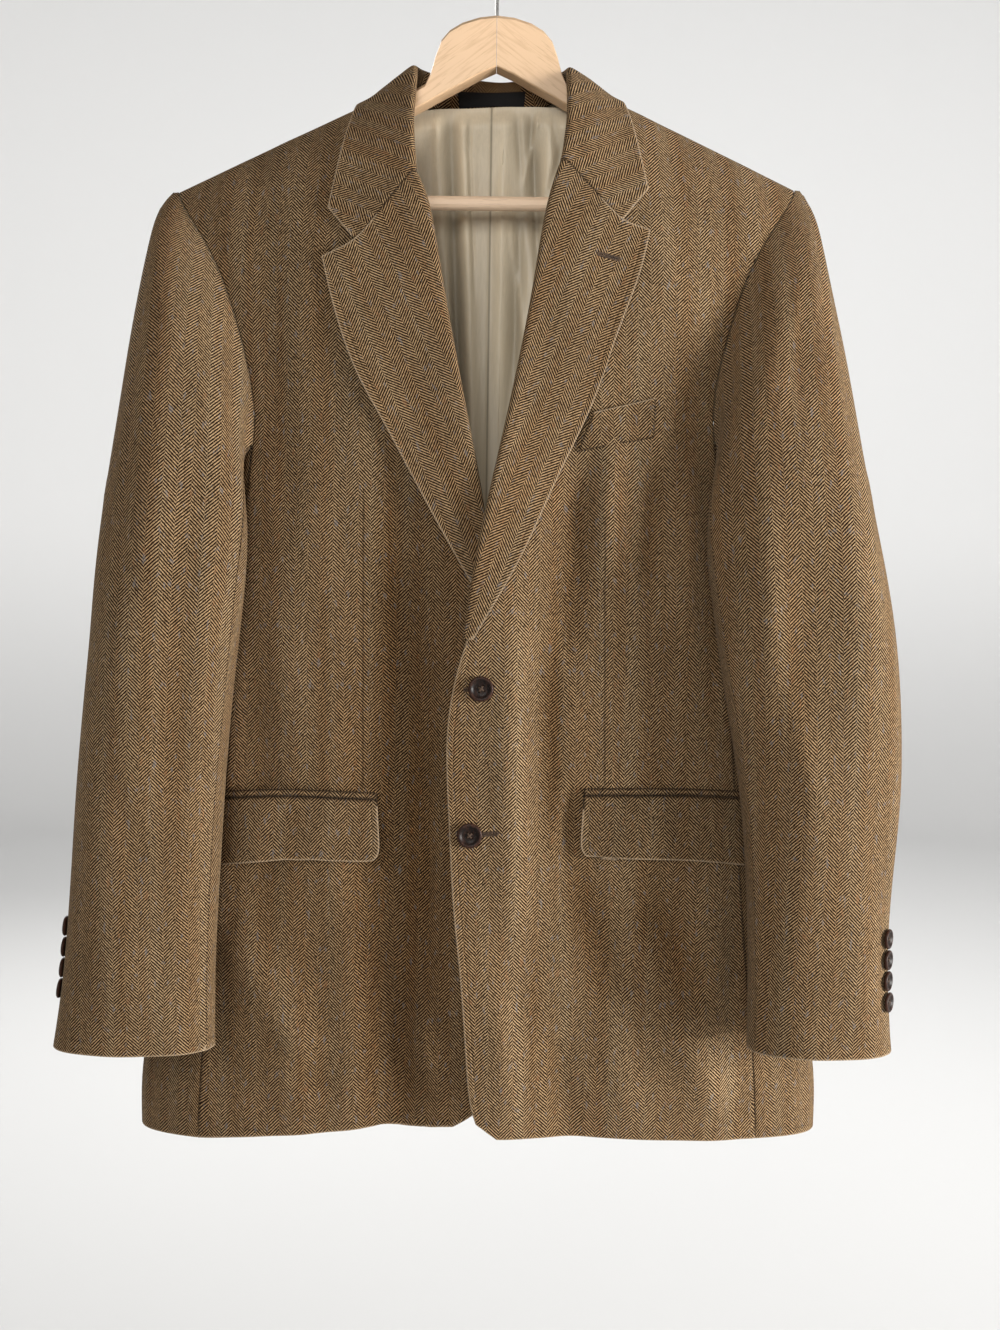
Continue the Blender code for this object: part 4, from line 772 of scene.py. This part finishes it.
for hand, length, seed in (("left", 0.878, 3), ("right", 0.881, 4)):
    cloth_piece("back_" + hand, folds=BACK_FOLDS, seed=seed,
                free=back_hem)

# ----------------------------------------
# Side panels. A strip of the same tweed under each arm, between front and back, sewn
# down both long edges; it turns the corner of the body and hangs nearly smooth.

SIDE_FOLDS = (
    (-262, -500, -270, -760, 12, -1.8), (-280, -640, -286, -930, 11, 1.6),
    (-240, -620, -232, -820, 9, 1.4), (246, -520, 256, -780, 12, 1.6), (264, -660, 272, -940, 11, -1.8),
    (224, -600, 216, -800, 9, -1.2))
SIDE_HEM = -0.9796


def side_hem(x, y, z):
    """The turned-up edge at the bottom."""
    return z < SIDE_HEM


for hand, flat, area, seed in (("left", (0.139, 0.576), 0.0699, 5), ("right", (0.140, 0.582), 0.0700, 6)):
    cloth_piece("side_" + hand, folds=SIDE_FOLDS, seed=seed,
                free=side_hem)

# ----------------------------------------
# Fronts. Tweed backed with canvas, shaped by one dart each below the chest and cut away
# in a curve at the hem; the right one laps over the left and buttons on it.

# A dart is x, z at its top and x, z at its foot.
LEFT_DART = (-0.1015, -0.459, -0.1010, -0.695)
RIGHT_DART = (0.0890, -0.480, 0.0915, -0.693)
LEFT_FRONT_FOLDS = (
    (-178, -500, -174, -1000, 58, -4.0), (-68, -400, -64, -1060, 37, -10.0),
    (-44, -480, -42, -1120, 12, 1.2), (-48, -720, -50, -810, 5, -2.6), (-150, -440, -160, -700, 22, 2.8),
    (-205, -380, -176, -560, 13, -2.2), (-120, -760, -132, -960, 18, -2.0),
    (-214, -800, -138, -930, 19, 4.2), (-56, -860, -48, -935, 8, 3.4), (-90, -800, -62, -980, 14, -3.4),
    (-130, -240, -150, -330, 14, 1.6), (-226, -620, -220, -690, 9, -1.4),
    (-190, -890, -110, -955, 11, -2.2))
RIGHT_FRONT_FOLDS = (
    (66, -684, 61, -764, 6, -5.0), (70, -430, 60, -600, 12, -7.0), (96, -390, 90, -540, 11, 5.0),
    (133, -425, 122, -545, 10, -5.0), (156, -420, 152, -580, 12, 4.0), (17, -540, 22, -860, 14, 5.0),
    (44, -560, 48, -760, 12, -6.0), (196, -420, 176, -660, 12, -2.6), (60, -740, 108, -880, 16, -6.5),
    (120, -770, 182, -880, 17, -6.0), (146, -870, 196, -960, 16, 6.0), (8, -830, 22, -985, 13, 4.0),
    (52, -880, 70, -985, 13, -4.0), (96, -850, 122, -985, 15, 3.6), (120, -230, 146, -320, 14, 2.0),
    (208, -760, 194, -920, 9, -2.6))
# A hem is a line: an x, its z there and its slope. An edge is the x and z past which it is free.
LEFT_HEM = (-0.026, -0.9635, 0.0909)
LEFT_EDGE = (-0.05, -0.53)
RIGHT_HEM = (0.009, -0.9727, -0.0284)
RIGHT_EDGE = (0.03, -0.57)


def line_at(line, along):
    """How high a straight line is at a place along it, from one place, its height there and its slope."""
    start, level, slope = line
    return level + (along - start) * slope


def left_front_edge(x, y, z):
    """The front edge and the hem of the lower front."""
    return z < line_at(LEFT_HEM, x) or (x > LEFT_EDGE[0] and z < LEFT_EDGE[1])


def right_front_edge(x, y, z):
    """The front edge and the hem of the upper front."""
    return z < line_at(RIGHT_HEM, x) or (x < RIGHT_EDGE[0] and z < RIGHT_EDGE[1])


# Painted shade and light: the left front's tweed is painted a little darker, the right one's lighter.
left_tweed = tweed_cloth("tweed of the left front", (LEFT_DART,), depth=0.04)
right_tweed = tweed_cloth("tweed of the right front", (RIGHT_DART,), depth=-0.07)
cloth_piece("front_left", levels=3, folds=LEFT_FRONT_FOLDS,
            seed=7, rippled=0.0004, free=left_front_edge, material=left_tweed)
front_right = cloth_piece("front_right", levels=3,
                          folds=RIGHT_FRONT_FOLDS, seed=8, rippled=0.0004, free=right_front_edge,
                          material=right_tweed)

# ----------------------------------------
# Back lining. Greige satin, 0.8 mm, sewn round the neck, shoulders and hem, with a
# pressed pleat down its middle for ease; it falls in soft long folds.

FRONTWARD = (0, -1, 0)
PLEAT = (-0.0037, -0.131, -0.0075, -0.900)
PLEAT_LAP = 0.0016
PLEAT_STEP = 0.0015
PLEAT_REACH = 0.030
PRESSED_HALF_WIDTH = 0.0012
LINING_EASE = 0.0085
LINING_FOLDS = (
    (-41, -60, -24, -540, 6, -9.0), (-31, -60, -14, -540, 7, 3.6), (-60, -60, -42, -540, 9, -3.4),
    (9, -60, 4, -420, 6, 2.6), (26, -60, 41, -350, 5, -6.0), (22, -190, 11, -540, 5, -6.0),
    (34, -220, 24, -540, 6, 3.6), (16, -112, 22, -196, 3, -2.6), (45, -112, 56, -200, 4, -3.4),
    (36, -112, 33, -180, 3, 2.2), (51, -120, 34, -310, 7, 4.6), (-20, -112, -24, -180, 3, -1.8),
    (-52, -112, -48, -190, 4, 2.0), (66, -140, 60, -260, 6, -2.4), (78, -180, 62, -500, 12, 4.0),
    (-88, -180, -72, -500, 13, -4.2), (120, -240, 110, -620, 16, -4.0), (-130, -250, -120, -660, 17, 4.0),
    (41, -116, 22, -206, 2.2, 2.2), (60, -150, 32, -240, 2.4, -2.2), (12, -214, 36, -392, 2.5, 3.0),
    (52, -232, 26, -430, 2.6, -2.8), (-44, -226, -27, -452, 2.4, 2.6), (-24, -140, -16, -300, 2.2, -2.0),
    (18, -330, 8, -500, 2.6, 2.8), (30, -540, 40, -900, 14, 4.0), (-50, -580, -60, -910, 15, -4.0),
    (160, -420, 170, -850, 15, 3.4), (-180, -430, -190, -860, 16, -3.6))
LINING_CUTS = (
    -0.056, -0.048, -0.038, -0.030, -0.022, -0.011, 0.006, 0.014, 0.022, 0.030, 0.038, 0.046, 0.056)


def pleat_lap(x, z, edge, seam):
    """The lining hangs off the back; the left leaf of its pleat stands proud of the right one."""
    top_x, top_z, low_x, low_z = PLEAT
    line = top_x + (low_x - top_x) * np.clip((z - top_z) / (low_z - top_z), 0, 1)
    away = line - x
    leaf = np.clip(away / PLEAT_STEP, 0, 1) * np.clip(1 - away / PLEAT_REACH, 0, 1)
    return LINING_EASE * eased(seam / SEAM_REACH) + PLEAT_LAP * leaf


lining_satin = satin_cloth("satin of the back lining", SATIN, ((*PLEAT, PRESSED_HALF_WIDTH),))
cloth_piece("lining_back",
            facing=FRONTWARD, levels=3, thick=0.0008, folds=LINING_FOLDS, seed=9,
            rippled=0.0004, lift=pleat_lap, material=lining_satin, cuts=LINING_CUTS)

# ----------------------------------------
# Neck label. A bare black rectangle of woven ribbon, its ends turned under, stitched
# over the tweed at the inside of the neck.

LABEL_BLACK = (0.004, 0.004, 0.005, 1)
RIBBON_PITCH = 0.0006
RIBBON_TONE = (0.35, 1.1)


def woven_ribbon(name):
    """Black ribbon with a fine cross weave."""
    material, add = nodes_of(name)
    split = add("SeparateXYZ", {"Vector": add("UVMap", uv_map="cloth").outputs["UV"]})
    over = maths(add, "SINE", maths(add, "MULTIPLY", split.outputs["X"], 2 * math.pi / RIBBON_PITCH))
    down = maths(add, "SINE", maths(add, "MULTIPLY", split.outputs["Y"], 2 * math.pi / RIBBON_PITCH))
    weave = maths(add, "MULTIPLY", over, down)
    colour = toned(add, LABEL_BLACK, Value=maths(add, "MULTIPLY_ADD", weave, *RIBBON_TONE))
    return surfaced(material, add, colour, weave, strength=0.3, distance=0.0002, gloss={
        "Roughness": 0.7, "Specular IOR Level": 0.25})


ribbon = woven_ribbon("black ribbon")
cloth_piece("label", facing=FRONTWARD,
            thick=0.0006, rippled=0.0, material=ribbon, inside=ribbon)

# ----------------------------------------
# Sleeves. Each is a top and an under part of tweed, sewn along the elbow and the
# forearm, eased into the armhole and turned up at the cuff; lined with satin.

SLEEVE_FOLDS = (
    (-300, -470, -262, -560, 16, -2.4), (-252, -430, -290, -640, 20, 2.4),
    (-316, -560, -300, -820, 15, 2.4), (-236, -560, -246, -840, 13, -2.0),
    (-290, -660, -262, -760, 11, -1.6), (-232, -300, -240, -420, 12, -1.4),
    (-282, -300, -272, -440, 14, 1.4), (-270, -780, -262, -890, 14, 1.4),
    (-214, -470, -222, -640, 8, 1.2), (222, -330, 236, -390, 14, -1.6), (236, -480, 230, -680, 14, -1.8),
    (272, -380, 282, -720, 18, 2.2), (210, -430, 214, -620, 9, 1.6), (296, -520, 306, -820, 12, -1.8),
    (226, -600, 250, -720, 9, 1.8), (250, -740, 240, -880, 12, -1.4), (284, -740, 290, -880, 12, 1.2),
    (258, -260, 250, -330, 11, 1.2))
UNDER_FOLDS = (
    (-296, -480, -268, -570, 14, -3.0), (-316, -420, -288, -520, 12, 2.6),
    (-262, -500, -290, -620, 12, 2.0), (-250, -640, -262, -860, 13, -2.2),
    (-312, -620, -300, -840, 12, 1.8), (-228, -480, -234, -560, 8, -1.2),
    (284, -470, 252, -560, 14, -3.0), (298, -430, 272, -530, 11, 2.4), (246, -520, 276, -630, 12, 2.2),
    (236, -650, 248, -860, 13, 2.0), (292, -640, 284, -850, 12, -2.0), (212, -500, 220, -580, 8, 1.2))
CUFF_EDGE = -0.8915


def cuff(x, y, z):
    """The turned-up edge at the wrist."""
    return z < CUFF_EDGE


# Painted shade and light: the left sleeve's tweed is painted a little darker, the right one's lighter.
left_sleeve = tweed_cloth("tweed of the left sleeve", seam_shade=0.2, depth=0.02)
right_sleeve = tweed_cloth("tweed of the right sleeve", seam_shade=0.2, depth=-0.07)
cloth_piece("sleeve_top_left", levels=3, folds=SLEEVE_FOLDS,
            seed=11, free=cuff, material=left_sleeve)
cloth_piece("sleeve_top_right", levels=3, folds=SLEEVE_FOLDS,
            seed=12, free=cuff, material=right_sleeve)
cloth_piece("sleeve_under_left", folds=UNDER_FOLDS, seed=13,
            free=cuff, material=left_sleeve)
cloth_piece("sleeve_under_right", folds=UNDER_FOLDS, seed=14,
            free=cuff, material=right_sleeve)

# ----------------------------------------
# Lapels. The fronts' facings of tweed, turned back on the roll line, notched at the
# gorge and machined along the outer edge; they lie on the fronts, a little sprung.

LAPEL_THICK = 0.0016
LAPEL_SPRING = 0.0016
LAPEL_REACH = 0.035
LAPEL_SEAM_REACH = 0.03
SPRING_UNEVEN = 0.4
SPRING_TURNS = 34
SPRING_PHASE = 1.0
# A lapel's line is a z, its x there and its slope; the foot is the x and z past which it is free.
LEFT_LAPEL_LINE = (-0.225, -0.098, -0.3145)
LEFT_LAPEL_FOOT = (-0.004, -0.50)
RIGHT_LAPEL_LINE = (-0.210, 0.088, 0.2877)


def left_lapel_edge(x, y, z):
    """From the notch down the outer edge."""
    return x < line_at(LEFT_LAPEL_LINE, z) or (x < LEFT_LAPEL_FOOT[0] and z < LEFT_LAPEL_FOOT[1])


def right_lapel_edge(x, y, z):
    """From the notch down the outer edge."""
    return x > line_at(RIGHT_LAPEL_LINE, z)


def lapel_spring(x, z, edge, seam):
    """The free edge stands off a little, unevenly down its length."""
    near = np.clip(1 - edge / LAPEL_REACH, 0, 1) * np.clip(seam / LAPEL_SEAM_REACH, 0, 1)
    return LAPEL_SPRING * near * near * (1 + SPRING_UNEVEN * np.sin(SPRING_TURNS * z + SPRING_PHASE))


cloth_piece("lapel_left", grain=(-0.43, 0, 0.90), levels=3,
            thick=LAPEL_THICK, seed=15, free=left_lapel_edge, lift=lapel_spring)
lapel_right = cloth_piece("lapel_right", grain=(0.41, 0, 0.91),
                          levels=3, thick=LAPEL_THICK, seed=16, free=right_lapel_edge, lift=lapel_spring)

# ----------------------------------------
# Collar. One band of tweed over canvas, steamed to turn over its stand round the
# neck, cut with the grain down the centre back and sewn to the lapels at the gorge.

COLLAR_THICK = 0.0016
# A leaf is free past its first x near its point and past its second above; the back leaf by y and z.
POINTS_BELOW = -0.2
LEFT_LEAF = (-0.1105, -0.0965)
RIGHT_LEAF = (0.1005, 0.0935)
BACK_LEAF = (0.018, -0.144)
NECK_BACK = (0, 0.05, -0.13)


def collar_edge(x, y, z):
    """The leaf's lower edge, round the back and down to its two points."""
    above = 0 if z < POINTS_BELOW else 1
    return x < LEFT_LEAF[above] or x > RIGHT_LEAF[above] or (y > BACK_LEAF[0] and z < BACK_LEAF[1])


cloth_piece("collar", thick=COLLAR_THICK,
            seed=18, free=collar_edge, at=NECK_BACK, reach=0.05)

# ----------------------------------------
# Pockets. A jet of tweed over each side pocket with a straight flap sewn under it, its
# corners rounded, painted slightly darker as shade, and a slanting welt on the right breast.

FLAP_TOP = -0.705
FLAP_SEAM = -0.7085
FLAP_DROP = 0.05
FLAP_SPRING = 0.0016
FLAP_UNEVEN = 0.5
FLAP_TURNS = 60
FLAP_PHASE = 0.7
JET_THICK = 0.0012
WELT_TOP = (0.079, -0.3975, 0.268)


def flap_edge(x, y, z):
    """The two ends and the bottom."""
    return z < FLAP_SEAM


def welt_edge(x, y, z):
    """The turned edge along the top."""
    return z > line_at(WELT_TOP, x)


def flap_spring(x, z, edge, seam):
    """The bottom stands a little off the front."""
    down = np.clip((FLAP_TOP - z) / FLAP_DROP, 0, 1)
    return FLAP_SPRING * down * (1 + FLAP_UNEVEN * np.sin(FLAP_TURNS * x + FLAP_PHASE))


# Painted shade: the pockets' cloth is painted darker, with broad dark painted shade along its seams.
pocket_tweed = tweed_cloth("tweed of the pockets", seam_shade=0.85, seam_wide=0.0026, depth=0.10)
for hand, wide, area, jet_area in (("left", 0.152, 0.00768, 0.00083), ("right", 0.156, 0.00789, 0.00086)):
    cloth_piece("pocket_flap_" + hand, facing=FRONTWARD, levels=3, seed=17,
                free=flap_edge, lift=flap_spring, material=pocket_tweed, inside=pocket_tweed)
    cloth_piece("pocket_jet_" + hand, facing=FRONTWARD,
                thick=JET_THICK, rippled=0.0, material=pocket_tweed, inside=pocket_tweed)
welt_tweed = tweed_cloth("tweed of the welt", seam_shade=0.62, seam_wide=0.0020)
cloth_piece("breast_welt", facing=FRONTWARD,
            thick=JET_THICK, rippled=0.0, free=welt_edge, material=welt_tweed)

# ----------------------------------------
# Buttons. Brown-black horn turned on a lathe: a raised rim round a dished middle with
# four drilled holes, sewn on with crossed brown thread; two in front, four at each cuff.

HORN = (0.009, 0.0055, 0.0045, 1)
HORN_STREAK = (0.060, 0.024, 0.014, 1)
THREAD = (0.050, 0.026, 0.013, 1)
BUTTON_PROFILE = (
    (0.0, 0.50), (0.20, 0.50), (0.42, 0.52), (0.56, 0.58), (0.66, 0.74), (0.74, 0.92), (0.82, 1.0),
    (0.90, 0.97), (0.96, 0.86), (1.0, 0.66), (0.99, 0.46), (0.93, 0.24), (0.80, 0.08), (0.50, 0.0),
    (0.0, 0.0))
HOLE_PLACE = 0.175
HOLE_RADIUS = 0.085
HOLE_STEPS = 16
DRILL_LENGTH = 4.0
BUTTON_STEPS = 48
THREAD_RADIUS = 0.045
THREAD_STEPS = 8
LOOP_STEPS = 10
LOOP_LEVEL = 0.42
LOOP_STRETCH = (1, 1.7, 1.5, 1)
LOOP_TURNS = (math.radians(45), math.radians(135))
STREAK_STRETCH = (420.0, 420.0, 120.0)
STREAK_BAND = (0.46, 0.74)
STREAK_SHARE = 0.55
RIM_HIGHLIGHT_BAND = (0.72, 1.0)
RIM_HIGHLIGHT_SHARE = 0.5
HORN_ROUGHNESS = (0.32, 0.46)
TWIST_SCALE = 2600.0
TWIST_TONE = 0.9
CUFFS_FROM = 0.1
CUFF_OUTWARD = 0.6


def polished_horn(name):
    """Dark horn, painted redder towards the rim as a highlight, with drawn-out streaks and a soft polish."""
    material, add = nodes_of(name)
    place = add("TexCoord").outputs["Object"]
    streak = clouds(add, stretched(add, place, STREAK_STRETCH), 1.0, 4.0, Distortion=1.2)
    out = add("Attribute", attribute_name="out").outputs["Fac"]
    share = maths(add, "ADD", ranged(add, streak, *STREAK_BAND, 0.0, STREAK_SHARE),
                  ranged(add, out, *RIM_HIGHLIGHT_BAND, 0.0, RIM_HIGHLIGHT_SHARE))
    colour = blended(add, share, HORN, HORN_STREAK)
    return surfaced(material, add, colour, streak, strength=0.08, distance=0.0003, gloss={
        "Roughness": ranged(add, streak, 0.0, 1.0, *HORN_ROUGHNESS), "Specular IOR Level": 0.16})


def sewing_thread(name, colour):
    """Spun thread."""
    material, add = nodes_of(name)
    twist = clouds(add, add("TexCoord").outputs["Object"], TWIST_SCALE)
    spun_colour = toned(add, colour, Value=varied(add, twist, TWIST_TONE))
    return surfaced(material, add, spun_colour, twist, strength=0.4, distance=0.0002,
                    gloss={"Roughness": 0.8})


horn = polished_horn("horn")
button_thread = sewing_thread("button thread", THREAD)


def drilled(button):
    """Puts the four holes through a button."""
    drill = bmesh.new()
    for over in (-HOLE_PLACE, HOLE_PLACE):
        for up in (-HOLE_PLACE, HOLE_PLACE):
            bmesh.ops.create_cone(drill, cap_ends=True, segments=HOLE_STEPS, radius1=HOLE_RADIUS,
                                  radius2=HOLE_RADIUS, depth=DRILL_LENGTH,
                                  matrix=Matrix.Translation((over, up, 0)))
    drill = object_of("drill", drill)
    holes = button.modifiers.new("holes", "BOOLEAN")
    holes.operation = "DIFFERENCE"
    holes.solver = "EXACT"
    holes.object = drill
    settled(button)
    bpy.data.objects.remove(drill)


def thread_loop(turn):
    """A mesh of the half loop of thread from one hole to the one across from it."""
    loop = bmesh.new()
    start = Matrix.Translation((HOLE_PLACE * math.sqrt(2), 0, 0))
    bmesh.ops.create_circle(loop, segments=THREAD_STEPS, radius=THREAD_RADIUS, matrix=start)
    bmesh.ops.spin(loop, geom=loop.verts[:] + loop.edges[:], axis=(0, 1, 0), cent=(0, 0, 0),
                   angle=math.radians(-180), steps=LOOP_STEPS)
    raised = Matrix.Translation((0, 0, LOOP_LEVEL)) @ Matrix.Diagonal(LOOP_STRETCH)
    bmesh.ops.transform(loop, matrix=Matrix.Rotation(turn, 4, "Z") @ raised, verts=loop.verts)
    bmesh.ops.recalc_face_normals(loop, faces=loop.faces)
    rounded(loop.faces, 1)
    mesh = bpy.data.meshes.new("thread loop")
    loop.to_mesh(mesh)
    loop.free()
    return mesh


def turned_button():
    """One button of half width 1 and height 1 on its back at the origin, drilled, with its thread.

    Its attribute out is the distance from its axis.
    """
    button = object_of("turned button", spun(BUTTON_PROFILE, BUTTON_STEPS), horn, button_thread)
    drilled(button)
    whole = bmesh.new()
    whole.from_mesh(button.data)
    rounded(whole.faces)
    for turn in LOOP_TURNS:
        thread = thread_loop(turn)
        whole.from_mesh(thread)
        bpy.data.meshes.remove(thread)
    out = whole.verts.layers.float.new("out")
    for vert in whole.verts:
        vert[out] = min(1.0, math.hypot(vert.co.x, vert.co.y))
    whole.to_mesh(button.data)
    whole.free()
    return button


def sewn_button(node, pattern, turn):
    """A button in the place of its solid: the same middle, width, height and axis, turned in degrees."""
    points = points_of(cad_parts[node].data)
    middle = (points.max(axis=0) + points.min(axis=0)) / 2
    axis = np.linalg.svd(points - points.mean(axis=0), full_matrices=False)[2][2]
    outward = math.copysign(CUFF_OUTWARD, middle[0]) if abs(middle[0]) > CUFFS_FROM else 0
    if axis.dot((outward, -1, 0)) < 0:
        axis = -axis
    height = np.ptp(points @ axis)
    half = np.ptp(points, axis=0).max() / 2
    place = Matrix.Translation(Vector(middle) - Vector(axis) * height / 2)
    facing = Vector(axis).to_track_quat("Z", "Y").to_matrix().to_4x4()
    size = Matrix.Diagonal((half, half, height, 1))
    made = placed(node + "_horn", pattern.data.copy())
    made.data.transform(place @ facing @ Matrix.Rotation(math.radians(turn), 4, "Z") @ size)
    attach(made, "root")
    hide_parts(node)


button_pattern = turned_button()
sewn_button("button_front_1", button_pattern, 12)
sewn_button("button_front_2", button_pattern, -6)
for hand, turns in (("left", (20, -15, 40, 5)), ("right", (-30, 10, 25, -8))):
    for number, turn in enumerate(turns, 1):
        sewn_button("button_cuff_%s_%d" % (hand, number), button_pattern, turn)
bpy.data.objects.remove(button_pattern)

# ----------------------------------------
# Buttonholes. A cut through the cloth with its two sides and outer end worked in
# buttonhole stitch of brown thread: two on the front edge, one on the right lapel.

HOLE_THREAD = (0.060, 0.033, 0.017, 1)
CUT_SHADE = (0.010, 0.006, 0.004, 1)
STITCH_STEP = 0.00085
STITCH_SIZE = (0.00045, 0.0011, 0.0004)
STITCH_ROW = 0.0010
STITCH_LEAN = math.radians(8)
LEAN_TURNS = 2.3
FAN_STEP = math.radians(38)
FAN = range(-2, 3)
CUT_HALF_WIDTH = 0.00035
CUT_HALF_HEIGHT = 0.00035
STITCH_LIFT = 0.0001
BEFORE_JACKET = -0.4

hole_thread = sewing_thread("buttonhole thread", HOLE_THREAD)
cut_shadow = sewing_thread("painted shadow in the cut", CUT_SHADE)


def worked_buttonhole(name, start, end, cloth):
    """Rows of stitches along both sides of a cut from start to end, x and z in metres, on a cloth."""
    bpy.context.view_layer.update()
    skin = BVHTree.FromObject(cloth, bpy.context.evaluated_depsgraph_get())
    work = bmesh.new()
    run = Vector((end[0] - start[0], 0, end[1] - start[1]))
    length = run.length
    run.normalize()
    aside = Vector((run.z, 0, -run.x))

    def stitch(along, off, lean, size, finish=0):
        at = Vector((start[0], BEFORE_JACKET, start[1])) + run * along + aside * off
        found, normal = skin.ray_cast(at, Vector((0, 1, 0)))[:2]
        if found is None:
            return
        if normal.y > 0:
            normal = -normal
        level = Matrix((run, normal.cross(run).normalized(), normal)).transposed().to_4x4()
        place = Matrix.Translation(found + normal * STITCH_LIFT) @ level
        made = bmesh.ops.create_icosphere(work, subdivisions=2, radius=1.0, matrix=place
                                          @ Matrix.Rotation(lean, 4, "Z") @ Matrix.Diagonal((*size, 1)))
        for vert in made["verts"]:
            rounded(vert.link_faces, finish)

    count = round(length / STITCH_STEP)
    for index in range(count + 1):
        along = length * index / count
        lean = STITCH_LEAN * math.sin(index * LEAN_TURNS)
        stitch(along, STITCH_ROW, lean, STITCH_SIZE)
        stitch(along, -STITCH_ROW, lean, STITCH_SIZE)
    for turn in FAN:
        bend = turn * FAN_STEP
        along = length + STITCH_ROW * math.cos(bend)
        stitch(along, STITCH_ROW * math.sin(bend), bend + math.radians(90), STITCH_SIZE)
    # Painted shadow: a dark strip laid along the cut.
    stitch(length / 2, 0.0, 0.0, (length / 2, CUT_HALF_WIDTH, CUT_HALF_HEIGHT), 1)
    made = object_of(name, work, hole_thread, cut_shadow)
    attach(made, "root")


worked_buttonhole("buttonhole_front_1", (-0.0200, -0.6142), (-0.0030, -0.6134), front_right)
worked_buttonhole("buttonhole_front_2", (-0.0147, -0.7289), (0.0070, -0.7266), front_right)
worked_buttonhole("buttonhole_lapel", (0.0987, -0.2760), (0.0821, -0.2722), lapel_right)
